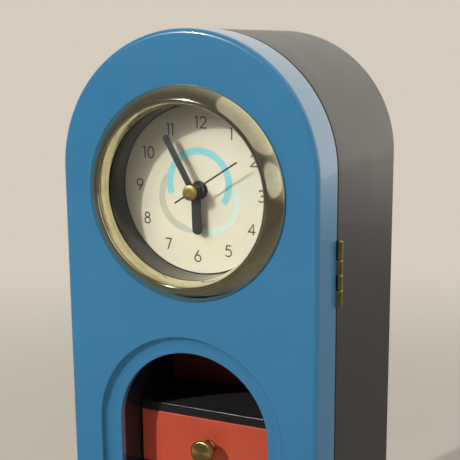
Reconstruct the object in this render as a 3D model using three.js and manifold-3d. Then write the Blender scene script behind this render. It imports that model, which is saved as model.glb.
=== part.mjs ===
// A wooden clock case that hides small drawers behind its door and a compartment behind its back.
// Millimetres, +Z up, the door faces -Y, the origin is the centre of the underside.
import * as THREE from 'three';
import { mergeVertices } from 'three/addons/utils/BufferGeometryUtils.js';
import Module from 'manifold-3d';

const wasm = await Module();
wasm.setup();

// Fits between pieces
const clearance = 0.3;
const runningFit = 0.1;
const seamGap = 0.7;

// How far a cutting shape runs over the face that it opens
const over = 1;

// Case and door
const halfWidth = 64;
const totalDepth = 118.8;
const doorThickness = 25;
const wallThickness = 24.3;
const edgeRounding = 2.4;
const feltThickness = 1.2;
const floorTop = 25.3;
const falseBackDepth = 60.8;
const falseBackThickness = 4;
const rearStep = 2;
const rebateWidth = 6;
const backPanelThickness = 6;

// Window in the door
const windowInset = 0.9;
const windowRingWidth = 8.6;
const windowArchRise = 0.5;
const windowRingDepth = 4.1;
const linerFrontDepth = 7.4;
const linerThickness = 1;

// Drawer stack
const drawerCount = 4;
const drawerSidePlay = 0.7;
const drawerFrontDepth = 23;
const drawerFrontThickness = 6;
const drawerOpeningHeight = 28;
const boardThickness = 4.6;
const stackTopDrop = 119.7;
const dadoDepth = 1.8;
const trayRearPlay = 1.8;
const trayWall = 2.5;
const trayFloor = 2;
const trayTopPlay = 4;
const trayInset = 0.5;
const frontPlay = 0.25;

// Insert clock. Depths are measured from the door's front face, insets from the rim of the bezel.
const clockDrop = 9.2;
const bezelMargin = 15;
const bezelSection = [
  [0, 0], [0.3, -0.8], [4, -4.4], [6, -6], [6.8, -6.4], [7.6, -6.3], [8.4, -5.4],
  [9.1, -1.5], [9.4, 1], [8.5, 1], [8.3, -1.6], [7.6, -4.9], [6.8, -5.6], [6, -5.1],
  [4, -3.3], [1.1, 0],
];
const glassInset = 8;
const glassFront = 1;
const glassBack = 2.6;
const canInnerInset = 9.3;
const canOuterInset = 7;
const canFlangeInset = 3;
const clockHoleInset = 4.5;
const canFlangeThickness = 1;
const canCollarDepth = 6;
const dialFront = 16;
const dialThickness = 0.6;
const canFloorThickness = 1.6;

// Hands: clockwise angles from twelve, lengths from the axis, heights of their fronts over the dial
const handThickness = 0.6;
const hubRadius = 3.7;
const hourHand = { angle: 178.2, length: 20.4, width: 5, height: 3.8, hub: 1.2 };
const minuteHand = { angle: 331.2, length: 29.2, width: 3.2, height: 6.7, hub: 1 };
const secondHand = { angle: 57.3, length: 27.5, tail: 9.9, width: 0.7, height: 8.9, thickness: 0.5 };
const capRadius = 3.5;
const capHeight = 10.2;

// Quartz movement, as wide as its cell and the two contacts need
const cell = { radius: 7, length: 49, nubRadius: 2.5, nubLength: 1.5 };
const contactThickness = 1.25;
const contactInset = 2;
const cellDepthPlay = 0.5;
const cellHeightPlay = 1.5;
const movementWall = 1.5;
const bossRadius = 4.1;
const bossLength = 2.8;
const hourPipe = { outer: 2.5, inner: 1.7 };
const minutePipe = { outer: 1.4, inner: 0.8 };
const secondArborRadius = 0.5;
const pivotRadius = 0.4;
const setArborRadius = 0.6;
const wheelPitch = 1.5;
const wheelThickness = 1;
const wheelEndPlay = 0.5;
const wheelCollar = 1;
const meshPlay = 0.15;
const motionDistance = 9;
const thirdDistance = 8.5;
const intermediateDistance = 9.6;
const rotorDistance = 7;
const rotorMagnetRadius = 3;
const rotorMagnetLength = 2;
const statorThickness = 1;
const setKnob = { radius: 5, length: 3 };
const postSize = 3;
const statorRise = 0.2;
const statorMargin = { left: 3.5, right: 2.5 };
const statorRim = 1;
const coil = { radius: 3.6, length: 12, flange: 1, flangeMargin: 0.4 };
const circuitBoard = { width: 12.2, rise: 0.5, topPlay: 1.5 };

// Brass hinges, fixed at the right seam
const knuckleRadius = 1.4;
const knuckleBore = 0.8;
const hingePinRadius = 0.7;
const hingeKnuckles = [8.8, 6.9, 7, 8.1];
const hingeTopDrop = 29.8;
const lowerHingeRise = 50.1;
const leafThickness = 1;
const leafWidth = 17;
const knuckleGap = 0.2;

// Magnetic catch at the left seam
const catchInset = 12;
const catchDrop = 6;
const magnetRadius = 4;
const magnetLength = 10;
const magnetProud = 0.5;
const strikeRadius = 5;
const strikeThickness = 1;

// Hatch in the back panel
const hatchMargin = 8.7;
const hatchRise = 26.7;
const hatchDrop = 40;
const hatchThickness = 4;
const hatchLip = 8;
const hatchPinRadius = 1;
const hatchPinLength = 12;
const notchRadius = 9;

// Turned knob of a drawer: radius, distance in front of the drawer
const knobProfile = [
  [0, 9.6], [5.2, 9.6], [6, 9], [6, 7.4], [5, 6.4], [2.7, 5.8], [2, 5], [2, 3.6], [1.5, 3.3],
  [2, 3], [3.2, 1], [3.6, 0], [0, 0],
];

const drawerPitch = drawerOpeningHeight + boardThickness;
const stackTop = floorTop + boardThickness + drawerCount * drawerPitch;
const archZ = stackTop + stackTopDrop;
const totalHeight = archZ + halfWidth;
const faceY = -totalDepth / 2;
const rearY = totalDepth / 2;
const doorBackY = faceY + doorThickness;
const caseFrontY = doorBackY + seamGap;
const falseBackY = faceY + falseBackDepth;
const clockZ = archZ - clockDrop;
const bezelRadius = halfWidth - bezelMargin;
const glassRadius = bezelRadius - glassInset;
const canInnerRadius = bezelRadius - canInnerInset;
const canOuterRadius = bezelRadius - canOuterInset;
const canFlangeRadius = bezelRadius - canFlangeInset;
const clockHoleRadius = bezelRadius - clockHoleInset;
const cavityHalfWidth = halfWidth - wallThickness;
const rearHalfWidth = cavityHalfWidth + rearStep;
const rebateHalfWidth = rearHalfWidth + rebateWidth;
const rearFloor = floorTop - rearStep;
const rebateFloor = rearFloor - rebateWidth;
const rebateY = rearY - backPanelThickness;
const windowHalfWidth = cavityHalfWidth - windowInset;
const windowRingHalfWidth = windowHalfWidth + windowRingWidth;
const windowBottom = floorTop - clearance;
const windowArchZ = stackTop - boardThickness + windowArchRise;
const drawerHalfWidth = windowHalfWidth - drawerSidePlay;
const boardFrontY = faceY + drawerFrontDepth;
const trayDepth = falseBackDepth - drawerFrontDepth - drawerFrontThickness - trayRearPlay;
const trayHeight = drawerOpeningHeight - trayTopPlay;
const hatchHalfWidth = rearHalfWidth - hatchMargin;
const hatchBottom = rearFloor + hatchRise;
const hatchTop = archZ - hatchDrop;
const hingeAxisX = halfWidth + knuckleRadius;
const hingeAxisY = (doorBackY + caseFrontY) / 2;
const leafInnerX = halfWidth - leafWidth;
const catchX = catchInset - halfWidth;
const catchZ = windowArchZ - catchDrop;
const canCollarRadius = clockHoleRadius - clearance;
const canHoleRadius = bossRadius + clearance;
const dialRadius = canInnerRadius - clearance;
const canFloorDepth = dialFront + dialThickness;
const canBackDepth = canFloorDepth + canFloorThickness;
const hourFront = dialFront - hourHand.height;
const minuteFront = dialFront - minuteHand.height;
const secondFront = dialFront - secondHand.height;
const movementInner = (cell.length + cell.nubLength) / 2 + contactThickness;
const movementHalf = movementInner + movementWall;
const gearFront = canBackDepth + movementWall;
const gearFirst = gearFront + wheelEndPlay;
const movementBack = gearFront + 2 * cell.radius + cellDepthPlay;
const bayTop = -movementInner + 2 * cell.radius + cellHeightPlay;
const coverFront = movementBack - movementWall;
const bayFloor = bayTop + movementWall;
const boardBottom = bayFloor + postSize + circuitBoard.rise;

const materials = {
  blueLacquer: { color: 0x3d7fb0, roughness: 0.45, metalness: 0 },
  greyLacquer: { color: 0x3c3e40, roughness: 0.5, metalness: 0 },
  blackPaint: { color: 0x141516, roughness: 0.35, metalness: 0 },
  redPaint: { color: 0xb5482f, roughness: 0.5, metalness: 0 },
  brass: { color: 0xc9a85a, roughness: 0.2, metalness: 1 },
  steel: { color: 0xa8abb0, roughness: 0.3, metalness: 1 },
  glass: { color: 0xeef4f4, roughness: 0.02, metalness: 0, transparent: true, opacity: 0.2 },
  dialPaper: { color: 0xe9dfc6, roughness: 0.6, metalness: 0 },
  blackPlastic: { color: 0x1b1c1e, roughness: 0.5, metalness: 0 },
  whitePlastic: { color: 0xdedbd2, roughness: 0.5, metalness: 0 },
  copper: { color: 0xb5673a, roughness: 0.35, metalness: 1 },
  greenBoard: { color: 0x2d6b45, roughness: 0.5, metalness: 0 },
  felt: { color: 0x26282a, roughness: 0.95, metalness: 0 },
};

const clock = new THREE.Group();
clock.name = 'clock_diversion_safe';

function add(name, solid, material) {
  const mesh = new THREE.Mesh(geometryOf(solid), new THREE.MeshStandardMaterial(materials[material]));
  mesh.name = name;
  clock.add(mesh);
}

// Solid helpers
function solidOf(geometry) {
  const bare = geometry.clone();
  bare.deleteAttribute('normal');
  bare.deleteAttribute('uv');
  const merged = mergeVertices(bare);
  const solid = new wasm.Manifold(new wasm.Mesh({
    numProp: 3,
    vertProperties: new Float32Array(merged.attributes.position.array),
    triVerts: new Uint32Array(merged.index.array),
  }));
  return solid;
}

function geometryOf(solid) {
  const mesh = solid.getMesh();
  const geometry = new THREE.BufferGeometry();
  geometry.setAttribute('position', new THREE.BufferAttribute(new Float32Array(mesh.vertProperties), 3));
  geometry.setIndex(new THREE.BufferAttribute(new Uint32Array(mesh.triVerts), 1));
  geometry.computeVertexNormals();
  return geometry;
}

function cut(solid, ...tools) {
  return tools.reduce((rest, tool) => rest.subtract(tool), solid);
}

function join(solid, ...others) {
  return others.reduce((whole, other) => whole.add(other), solid);
}

function block(x0, x1, y0, y1, z0, z1) {
  const box = new THREE.BoxGeometry(x1 - x0, y1 - y0, z1 - z0);
  box.translate((x0 + x1) / 2, (y0 + y1) / 2, (z0 + z1) / 2);
  return solidOf(box);
}

// A shape drawn in X and Z, extruded along Y between two planes
function plateY(shape, y0, y1, curveSegments = 24, bevel = {}) {
  const settings = { depth: y1 - y0, curveSegments, bevelEnabled: false, ...bevel };
  const plate = new THREE.ExtrudeGeometry(shape, settings);
  plate.rotateX(Math.PI / 2);
  plate.translate(0, y1, 0);
  return solidOf(plate);
}

// A shape drawn in X and Y, extruded along Z between two heights
function plateZ(shape, z0, z1, curveSegments = 12) {
  const plate = new THREE.ExtrudeGeometry(shape, { depth: z1 - z0, curveSegments, bevelEnabled: false });
  plate.translate(0, 0, z0);
  return solidOf(plate);
}

function archShape(half, bottom, centre) {
  const shape = new THREE.Shape();
  shape.moveTo(-half, bottom);
  shape.lineTo(half, bottom);
  shape.lineTo(half, centre);
  shape.absarc(0, centre, half, 0, Math.PI, false);
  shape.closePath();
  return shape;
}

function ringShape(u, v, outer, inner = 0) {
  const shape = new THREE.Shape();
  shape.absarc(u, v, outer, 0, 2 * Math.PI, false);
  if (inner > 0) {
    const hole = new THREE.Path();
    hole.absarc(u, v, inner, 0, 2 * Math.PI, true);
    shape.holes.push(hole);
  }
  return shape;
}

// A profile of [radius, depth] turned about the clock's own axis
function turned(profile, segments, x, z, sign = 1, origin = faceY) {
  const points = profile.map(([radius, depth]) => new THREE.Vector2(radius, origin + sign * depth));
  const onAxis = profile[0][0] === 0;
  if (!onAxis) points.push(points[0].clone());
  if (THREE.ShapeUtils.area(points) < 0) points.reverse();
  const lathe = new THREE.LatheGeometry(points, segments);
  lathe.translate(x, 0, z);
  return solidOf(lathe);
}

// A disc or ring on the clock's axis or beside it, between two depths
function disc(x, z, from, to, outer, inner = 0, curveSegments = 12) {
  return plateY(ringShape(x, z, outer, inner), faceY + from, faceY + to, curveSegments);
}

function post(x, y, z0, z1, outer, inner = 0, curveSegments = 10) {
  return plateZ(ringShape(x, y, outer, inner), z0, z1, curveSegments);
}

function rodX(x0, x1, y, z, radius, curveSegments = 12) {
  const rod = new THREE.ExtrudeGeometry(ringShape(0, 0, radius), {
    depth: x1 - x0, curveSegments, bevelEnabled: false,
  });
  rod.rotateY(Math.PI / 2);
  rod.translate(x0, y, z);
  return solidOf(rod);
}

// Case: walls and floor in one arch, a step for the false back and a rebate for the back panel
function buildCase() {
  const outside = plateY(archShape(halfWidth, feltThickness, archZ), caseFrontY, rearY);
  const front = plateY(archShape(cavityHalfWidth, floorTop, archZ), caseFrontY - over, falseBackY + over);
  const rear = plateY(archShape(rearHalfWidth, rearFloor, archZ), falseBackY, rebateY + over);
  const rebate = plateY(archShape(rebateHalfWidth, rebateFloor, archZ), rebateY, rearY + over);
  const dados = boardBottoms().slice(0, -1).map((z) => {
    const reach = cavityHalfWidth + dadoDepth + clearance;
    return block(-reach, reach, caseFrontY - over, falseBackY, z, z + boardThickness + clearance);
  });
  const magnetHole = plateY(
    ringShape(catchX, catchZ, magnetRadius + clearance), caseFrontY - over, magnetBackY(), 12);
  const mortises = hingeTops().map(
    (top) => hingeMortise(top, caseFrontY - over, caseFrontY + leafThickness));
  return cut(outside, front, rear, rebate, ...dados, magnetHole, ...mortises.flat());
}

function magnetBackY() {
  return caseFrontY - magnetProud + magnetLength;
}

// Bottom of each board from the top one down
function boardBottoms() {
  const bottoms = [];
  for (let i = 0; i <= drawerCount; i += 1) {
    bottoms.push(stackTop - boardThickness - i * drawerPitch);
  }
  return bottoms;
}

function hingeTops() {
  return [archZ - hingeTopDrop, floorTop + lowerHingeRise];
}

function hingeLength() {
  return hingeKnuckles.reduce((sum, length) => sum + length, 0);
}

// Recess for one leaf, with room for the knuckles at the corner
function hingeMortise(top, y0, y1) {
  const bottom = top - hingeLength() - clearance;
  const leafRoom = block(leafInnerX - clearance, halfWidth + over, y0, y1, bottom, top + clearance);
  const knuckleRoom = post(hingeAxisX, hingeAxisY, bottom, top + clearance, knuckleRadius + clearance);
  return [leafRoom, knuckleRoom];
}

// One leaf with every second knuckle; the case leaf starts with the top knuckle
function hingeLeaf(top, ownsFirst, y0, y1) {
  const bottom = top - hingeLength();
  let leaf = block(leafInnerX, hingeAxisX, y0, y1, bottom, top);
  let z = top;
  hingeKnuckles.forEach((length, i) => {
    const own = (i % 2 === 0) === ownsFirst;
    const upper = z - (i === 0 ? 0 : knuckleGap / 2);
    const lower = z - length + (i === hingeKnuckles.length - 1 ? 0 : knuckleGap / 2);
    if (own) {
      leaf = leaf.add(post(hingeAxisX, hingeAxisY, lower, upper, knuckleRadius));
    } else {
      const room = block(
        halfWidth - clearance, hingeAxisX + knuckleRadius + over, hingeAxisY - knuckleRadius - over,
        hingeAxisY + knuckleRadius + over, lower - knuckleGap, upper + knuckleGap);
      leaf = leaf.subtract(room);
    }
    z -= length;
  });
  return leaf.subtract(post(hingeAxisX, hingeAxisY, bottom - over, top + over, knuckleBore));
}

function buildHinges() {
  ['upper', 'lower'].forEach((place, i) => {
    const top = hingeTops()[i];
    const caseLeaf = hingeLeaf(top, true, caseFrontY, caseFrontY + leafThickness);
    const doorLeaf = hingeLeaf(top, false, doorBackY - leafThickness, doorBackY);
    const pin = post(hingeAxisX, hingeAxisY, top - hingeLength(), top, hingePinRadius);
    add(`hinge_${place}_case_leaf`, caseLeaf, 'brass');
    add(`hinge_${place}_door_leaf`, doorLeaf, 'brass');
    add(`hinge_${place}_pin`, pin, 'brass');
  });
}

// Door: one board with a rounded front edge, a hole for the clock and the stepped window
function buildDoor() {
  const rounding = {
    bevelEnabled: true, bevelThickness: edgeRounding, bevelSize: edgeRounding,
    bevelOffset: -edgeRounding, bevelSegments: 4,
  };
  const outline = archShape(halfWidth, feltThickness, archZ);
  const roundedY = faceY + edgeRounding;
  const board = plateY(outline, roundedY, doorBackY + edgeRounding, 24, rounding);
  const tooDeep = block(
    -halfWidth - over, halfWidth + over, doorBackY, doorBackY + 3 * edgeRounding, 0, totalHeight + over);
  const clockHole = plateY(ringShape(0, clockZ, clockHoleRadius), faceY - over, doorBackY + over, 32);
  const ring = plateY(
    archShape(windowRingHalfWidth, windowBottom - windowRingWidth, windowArchZ),
    faceY - over, faceY + windowRingDepth);
  const opening = plateY(
    archShape(windowHalfWidth, windowBottom, windowArchZ), faceY - over, doorBackY + over);
  const linerGrowth = linerThickness + clearance;
  const linerRoom = plateY(
    archShape(windowHalfWidth + linerGrowth, windowBottom - linerGrowth, windowArchZ),
    faceY + linerFrontDepth, doorBackY + over);
  const strikeHole = plateY(
    ringShape(catchX, catchZ, strikeRadius + clearance), doorBackY - strikeThickness, doorBackY + over, 12);
  const mortises = hingeTops().map((top) => hingeMortise(top, doorBackY - leafThickness, doorBackY + over));
  return cut(board, tooDeep, clockHole, ring, opening, linerRoom, strikeHole, ...mortises.flat());
}

function buildLiner() {
  const y0 = faceY + linerFrontDepth;
  const outside = plateY(
    archShape(windowHalfWidth + linerThickness, windowBottom - linerThickness, windowArchZ), y0, doorBackY);
  const inside = plateY(
    archShape(windowHalfWidth, windowBottom, windowArchZ), y0 - over, doorBackY + over);
  return cut(outside, inside);
}

// Boards above, between and below the drawers; the front part is narrow enough for the window
function buildBoard(bottom, isFloor) {
  const top = bottom + boardThickness;
  const backY = falseBackY - clearance;
  const reach = isFloor ? cavityHalfWidth - clearance : cavityHalfWidth + dadoDepth;
  const tongue = block(-drawerHalfWidth, drawerHalfWidth, boardFrontY, backY, bottom, top);
  const body = block(-reach, reach, caseFrontY + clearance, backY, bottom, top);
  return join(tongue, body);
}

function buildDrawers() {
  boardBottoms().forEach((bottom, i) => {
    const names = ['board_top', 'board_1', 'board_2', 'board_3', 'board_bottom'];
    add(names[i], buildBoard(bottom, i === drawerCount), 'blackPaint');
    if (i === drawerCount) return;
    const floor = bottom - drawerOpeningHeight;
    const frontBackY = boardFrontY + drawerFrontThickness;
    const label = `drawer_${i + 1}`;
    add(`${label}_front`, block(
      -drawerHalfWidth, drawerHalfWidth, boardFrontY, frontBackY,
      floor + frontPlay, bottom - frontPlay), 'redPaint');
    add(`${label}_tray`, buildTray(floor, frontBackY), 'blackPaint');
    const knobZ = (floor + bottom) / 2;
    add(`${label}_knob`, turned(knobProfile, 24, 0, knobZ, -1, boardFrontY), 'brass');
  });
}

function buildTray(floor, y0) {
  const half = drawerHalfWidth - trayInset;
  const outside = block(-half, half, y0, y0 + trayDepth, floor, floor + trayHeight);
  const inside = block(
    -half + trayWall, half - trayWall, y0 + trayWall, y0 + trayDepth - trayWall,
    floor + trayFloor, floor + trayHeight + over);
  return cut(outside, inside);
}

// Back panel and the hatch that turns on two pins at its left edge
function buildBackPanel() {
  const fit = clearance;
  const panel = plateY(
    archShape(rebateHalfWidth - fit, rebateFloor, archZ), rebateY, rearY);
  const inner = block(
    -hatchHalfWidth, hatchHalfWidth - hatchLip, rebateY - over, rearY + over, hatchBottom, hatchTop);
  const outer = block(
    -hatchHalfWidth, hatchHalfWidth, rearY - hatchThickness, rearY + over, hatchBottom, hatchTop);
  const notch = plateY(
    ringShape(hatchHalfWidth, (hatchBottom + hatchTop) / 2, notchRadius),
    rearY - hatchThickness, rearY + over, 12);
  const magnetHole = plateY(
    ringShape(hatchMagnetX(), hatchMagnetZ(), magnetRadius / 2 + runningFit), rebateY - over, rearY, 10);
  return cut(panel, inner, outer, notch, magnetHole, ...hatchPinHoles(hatchPinRadius + runningFit));
}

function hatchMagnetX() {
  return hatchHalfWidth - hatchLip / 2;
}

function hatchMagnetZ() {
  return (hatchBottom + hatchTop) / 2;
}

function hatchAxis() {
  return { x: -hatchHalfWidth + clearance + hatchThickness / 2, y: rearY - hatchThickness / 2 };
}

function hatchPinSpans() {
  const reach = hatchPinLength / 2;
  return [[hatchBottom - reach, hatchBottom + reach], [hatchTop - reach, hatchTop + reach]];
}

function hatchPinHoles(radius) {
  const { x, y } = hatchAxis();
  return hatchPinSpans().map(([z0, z1]) => post(x, y, z0 - clearance, z1 + clearance, radius));
}

function buildHatch() {
  const { x, y } = hatchAxis();
  const bottom = hatchBottom + clearance;
  const top = hatchTop - clearance;
  const leaf = block(x, hatchHalfWidth - clearance, rearY - hatchThickness, rearY, bottom, top);
  const roundEdge = post(x, y, bottom, top, hatchThickness / 2);
  return cut(join(leaf, roundEdge), ...hatchPinHoles(hatchPinRadius + runningFit));
}

function buildRear() {
  add('false_back', plateY(
    archShape(rearHalfWidth - clearance, rearFloor, archZ),
    falseBackY, falseBackY + falseBackThickness), 'redPaint');
  add('back_panel', buildBackPanel(), 'greyLacquer');
  add('hatch_panel', buildHatch(), 'greyLacquer');
  const { x, y } = hatchAxis();
  hatchPinSpans().forEach(([z0, z1], i) => {
    add(`hatch_pin_${i + 1}`, post(x, y, z0, z1, hatchPinRadius), 'steel');
  });
  add('hatch_magnet', plateY(
    ringShape(hatchMagnetX(), hatchMagnetZ(), magnetRadius / 2),
    rebateY, rearY - hatchThickness, 10), 'steel');
}

function buildCatch() {
  add('catch_magnet', plateY(
    ringShape(catchX, catchZ, magnetRadius), caseFrontY - magnetProud, magnetBackY(), 12), 'steel');
  add('catch_strike', plateY(
    ringShape(catchX, catchZ, strikeRadius), doorBackY - strikeThickness, doorBackY, 12), 'steel');
}

// Insert clock: bezel, glass, can and dial
function buildInsert() {
  const bezelProfile = bezelSection.map(([inset, depth]) => [bezelRadius - inset, depth]);
  add('clock_bezel', turned(bezelProfile, 72, 0, clockZ), 'brass');
  add('clock_glass', disc(0, clockZ, glassFront, glassBack, glassRadius, 0, 32), 'glass');
  const canProfile = [
    [canFlangeRadius, -canFlangeThickness], [canFlangeRadius, 0], [canCollarRadius, 0],
    [canCollarRadius, canCollarDepth], [canOuterRadius, canCollarDepth], [canOuterRadius, canBackDepth],
    [canHoleRadius, canBackDepth], [canHoleRadius, canFloorDepth], [canInnerRadius, canFloorDepth],
    [canInnerRadius, glassBack], [glassRadius + clearance, glassBack],
    [glassRadius + clearance, -canFlangeThickness],
  ];
  add('clock_can', turned(canProfile, 64, 0, clockZ), 'brass');
  add('clock_dial', disc(
    0, clockZ, canFloorDepth - dialThickness, canFloorDepth, dialRadius, canHoleRadius, 32), 'dialPaper');
}

// A blade with round ends, drawn towards twelve and turned clockwise to its angle
function blade(length, tail, width, angle, y0, y1) {
  const half = width / 2;
  const shape = new THREE.Shape();
  shape.moveTo(half, -tail + half);
  shape.lineTo(half, length - half);
  shape.absarc(0, length - half, half, 0, Math.PI, false);
  shape.lineTo(-half, -tail + half);
  shape.absarc(0, -tail + half, half, Math.PI, 2 * Math.PI, false);
  const plate = new THREE.ExtrudeGeometry(shape, { depth: y1 - y0, curveSegments: 5, bevelEnabled: false });
  plate.rotateX(Math.PI / 2);
  plate.rotateY(THREE.MathUtils.degToRad(angle));
  plate.translate(0, faceY + y1, clockZ);
  return solidOf(plate);
}

function hubbedHand({ angle, length, width, hub }, front, hole) {
  const back = front + handThickness;
  const arm = blade(length, width / 2, width, angle, front, back);
  const boss = disc(0, clockZ, back - hub, back, hubRadius);
  return cut(join(arm, boss), disc(0, clockZ, front - hub, back + over, hole));
}

function buildHands() {
  add('hour_hand', hubbedHand(hourHand, hourFront, hourPipe.inner), 'blackPlastic');
  add('minute_hand', hubbedHand(minuteHand, minuteFront, minutePipe.inner), 'blackPlastic');
  const { angle, length, tail, width, thickness } = secondHand;
  const needle = blade(length, tail, width, angle, secondFront, secondFront + thickness);
  const hub = disc(0, clockZ, secondFront, secondFront + thickness, hubRadius / 2);
  add('second_hand', join(needle, hub), 'blackPlastic');
  add('hand_cap', disc(0, clockZ, dialFront - capHeight, secondFront, capRadius), 'brass');
}

// Movement
function wheelLevel(n) {
  const from = gearFirst + (n - 1) * wheelPitch;
  return [from, from + wheelThickness];
}

function wheel(x, z, level, radius, inner = 0) {
  const [from, to] = wheelLevel(level);
  return disc(x, z, from, to, radius - meshPlay, inner);
}

function polar(distance, degrees, x = 0, z = clockZ) {
  const angle = THREE.MathUtils.degToRad(degrees);
  return { x: x + distance * Math.cos(angle), z: z + distance * Math.sin(angle) };
}

// Radii of a pair with this ratio on this centre distance
function pair(distance, ratio) {
  return { pinion: distance / (1 + ratio), wheel: (distance * ratio) / (1 + ratio) };
}

function gearPlaces() {
  const intermediate = polar(intermediateDistance, 90);
  return {
    motion: polar(motionDistance, 37),
    third: polar(thirdDistance, 180),
    intermediate,
    rotor: polar(rotorDistance, 143, intermediate.x, intermediate.z),
  };
}

function buildWheels() {
  const place = gearPlaces();
  const minuteToMotion = pair(motionDistance, 3);
  const motionToHour = pair(motionDistance, 4);
  const secondToThird = pair(thirdDistance, 7.5);
  const thirdToMinute = pair(thirdDistance, 8);
  const middleToSecond = pair(intermediateDistance, 5);
  const rotorToMiddle = pair(rotorDistance, 6);
  const [hourFrom, hourTo] = wheelLevel(1);
  const [, centreTo] = wheelLevel(3);
  const [, thirdTo] = wheelLevel(4);
  const [, secondTo] = wheelLevel(5);
  const [, middleTo] = wheelLevel(6);
  const [magnetFrom] = wheelLevel(7);

  add('hour_wheel', join(
    disc(0, clockZ, hourFront + handThickness, hourTo, hourPipe.outer, hourPipe.inner),
    disc(0, clockZ, gearFront, hourFrom, hourPipe.outer + wheelCollar, hourPipe.inner),
    wheel(0, clockZ, 1, motionToHour.wheel, hourPipe.inner)), 'whitePlastic');

  add('minute_wheel', join(
    disc(0, clockZ, minuteFront + handThickness, centreTo, minutePipe.outer, minutePipe.inner),
    disc(0, clockZ, hourTo, centreTo, minuteToMotion.pinion - meshPlay, minutePipe.inner),
    wheel(0, clockZ, 3, thirdToMinute.wheel, minutePipe.inner)), 'whitePlastic');

  add('second_wheel', join(
    disc(0, clockZ, secondFront + secondHand.thickness, secondTo, secondArborRadius),
    disc(0, clockZ, centreTo, thirdTo, secondToThird.pinion - meshPlay),
    disc(0, clockZ, thirdTo, secondTo, secondArborRadius * 2),
    wheel(0, clockZ, 5, middleToSecond.wheel)), 'whitePlastic');

  add('motion_wheel', join(
    disc(place.motion.x, place.motion.z, gearFront, movementBack + clearance, setArborRadius),
    wheel(place.motion.x, place.motion.z, 1, motionToHour.pinion),
    wheel(place.motion.x, place.motion.z, 2, minuteToMotion.wheel)), 'whitePlastic');

  add('third_wheel', join(
    disc(place.third.x, place.third.z, gearFront, thirdTo, pivotRadius),
    wheel(place.third.x, place.third.z, 3, thirdToMinute.pinion),
    wheel(place.third.x, place.third.z, 4, secondToThird.wheel)), 'whitePlastic');

  add('intermediate_wheel', join(
    disc(place.intermediate.x, place.intermediate.z, gearFront, middleTo, pivotRadius),
    wheel(place.intermediate.x, place.intermediate.z, 5, middleToSecond.pinion),
    wheel(place.intermediate.x, place.intermediate.z, 6, rotorToMiddle.wheel)), 'whitePlastic');

  add('rotor', join(
    disc(place.rotor.x, place.rotor.z, gearFront, magnetFrom, pivotRadius),
    wheel(place.rotor.x, place.rotor.z, 6, rotorToMiddle.pinion),
    disc(
      place.rotor.x, place.rotor.z, magnetFrom, magnetFrom + rotorMagnetLength,
      rotorMagnetRadius)), 'steel');

  add('set_knob', disc(
    place.motion.x, place.motion.z, movementBack + clearance, movementBack + clearance + setKnob.length,
    setKnob.radius), 'blackPlastic');
}

// A box inside the movement, given from the clock's axis and the door's face
function insideBox(x0, x1, from, to, z0, z1) {
  return block(x0, x1, faceY + from, faceY + to, clockZ + z0, clockZ + z1);
}

// Posts rooted in the walls of the gear bay; the corner ones carry the cover, the others the plate
function movementPosts(statorFront) {
  const root = movementWall / 2;
  const near = movementInner - postSize;
  const far = movementInner + root;
  const corners = [[-far, -near], [near, far]].flatMap(([x0, x1]) => [
    insideBox(x0, x1, gearFront - root, coverFront, bayFloor - root, bayFloor + postSize),
    insideBox(x0, x1, gearFront - root, coverFront, near, far),
  ]);
  const [x0] = statorSpan();
  const statorPost = insideBox(
    x0, x0 + postSize, gearFront - root, statorFront, coilZ() - postSize / 2, coilZ() + postSize / 2);
  const [boardX] = boardSpan();
  const boardPost = insideBox(
    boardX, boardX + postSize, gearFront - root, statorFront, boardBottom, boardBottom + postSize);
  return [...corners, statorPost, boardPost];
}

function coilZ() {
  const { rotor } = gearPlaces();
  return rotor.z - clockZ + rotorMagnetRadius + clearance + coil.flange;
}

function statorBottom() {
  return gearPlaces().rotor.z - clockZ - rotorMagnetRadius - clearance - statorRim;
}

function statorSpan() {
  const reach = movementInner - postSize;
  return [statorMargin.left - reach, reach - statorMargin.right];
}

function boardSpan() {
  const end = movementInner - clearance;
  return [end - circuitBoard.width, end];
}

function buildMovement() {
  const half = movementHalf;
  const inner = movementInner;
  const statorFront = wheelLevel(7)[0] + statorRise;
  const statorBack = statorFront + statorThickness;
  const shell = insideBox(-half, half, canBackDepth, movementBack, -half, half);
  const gearBay = insideBox(-inner, inner, gearFront, movementBack + over, bayFloor, inner);
  const cellBay = insideBox(-inner, inner, gearFront, movementBack + over, -inner, bayTop);
  const bossFront = canBackDepth - bossLength;
  const bore = disc(0, clockZ, bossFront - over, gearFront + over, hourPipe.outer + clearance);
  const boss = disc(0, clockZ, bossFront, gearFront, bossRadius);
  const hollow = cut(shell, gearBay, cellBay);
  add('movement_housing', cut(join(hollow, boss, ...movementPosts(statorFront)), bore), 'blackPlastic');

  const place = gearPlaces();
  const cover = insideBox(
    -inner + clearance, inner - clearance, coverFront, movementBack,
    bayFloor + clearance, inner - clearance);
  const arborHole = disc(
    place.motion.x, place.motion.z, coverFront - over, movementBack + over, setArborRadius + runningFit);
  add('movement_cover', cut(cover, arborHole), 'blackPlastic');

  const magnetRoom = rotorMagnetRadius + clearance;
  const rotorHole = disc(place.rotor.x, place.rotor.z, statorFront - over, statorBack + over, magnetRoom);
  const [x0, x1] = statorSpan();
  const stator = insideBox(
    x0, x1, statorFront, statorBack, statorBottom(), coilZ() + coil.radius + statorRim);
  add('stator_plate', cut(stator, rotorHole), 'steel');
  buildCoil(statorFront, x1);

  const [boardX, boardEnd] = boardSpan();
  add('circuit_board', insideBox(
    boardX, boardEnd, statorFront, statorBack,
    boardBottom, statorBottom() - circuitBoard.topPlay), 'greenBoard');
}

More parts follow.
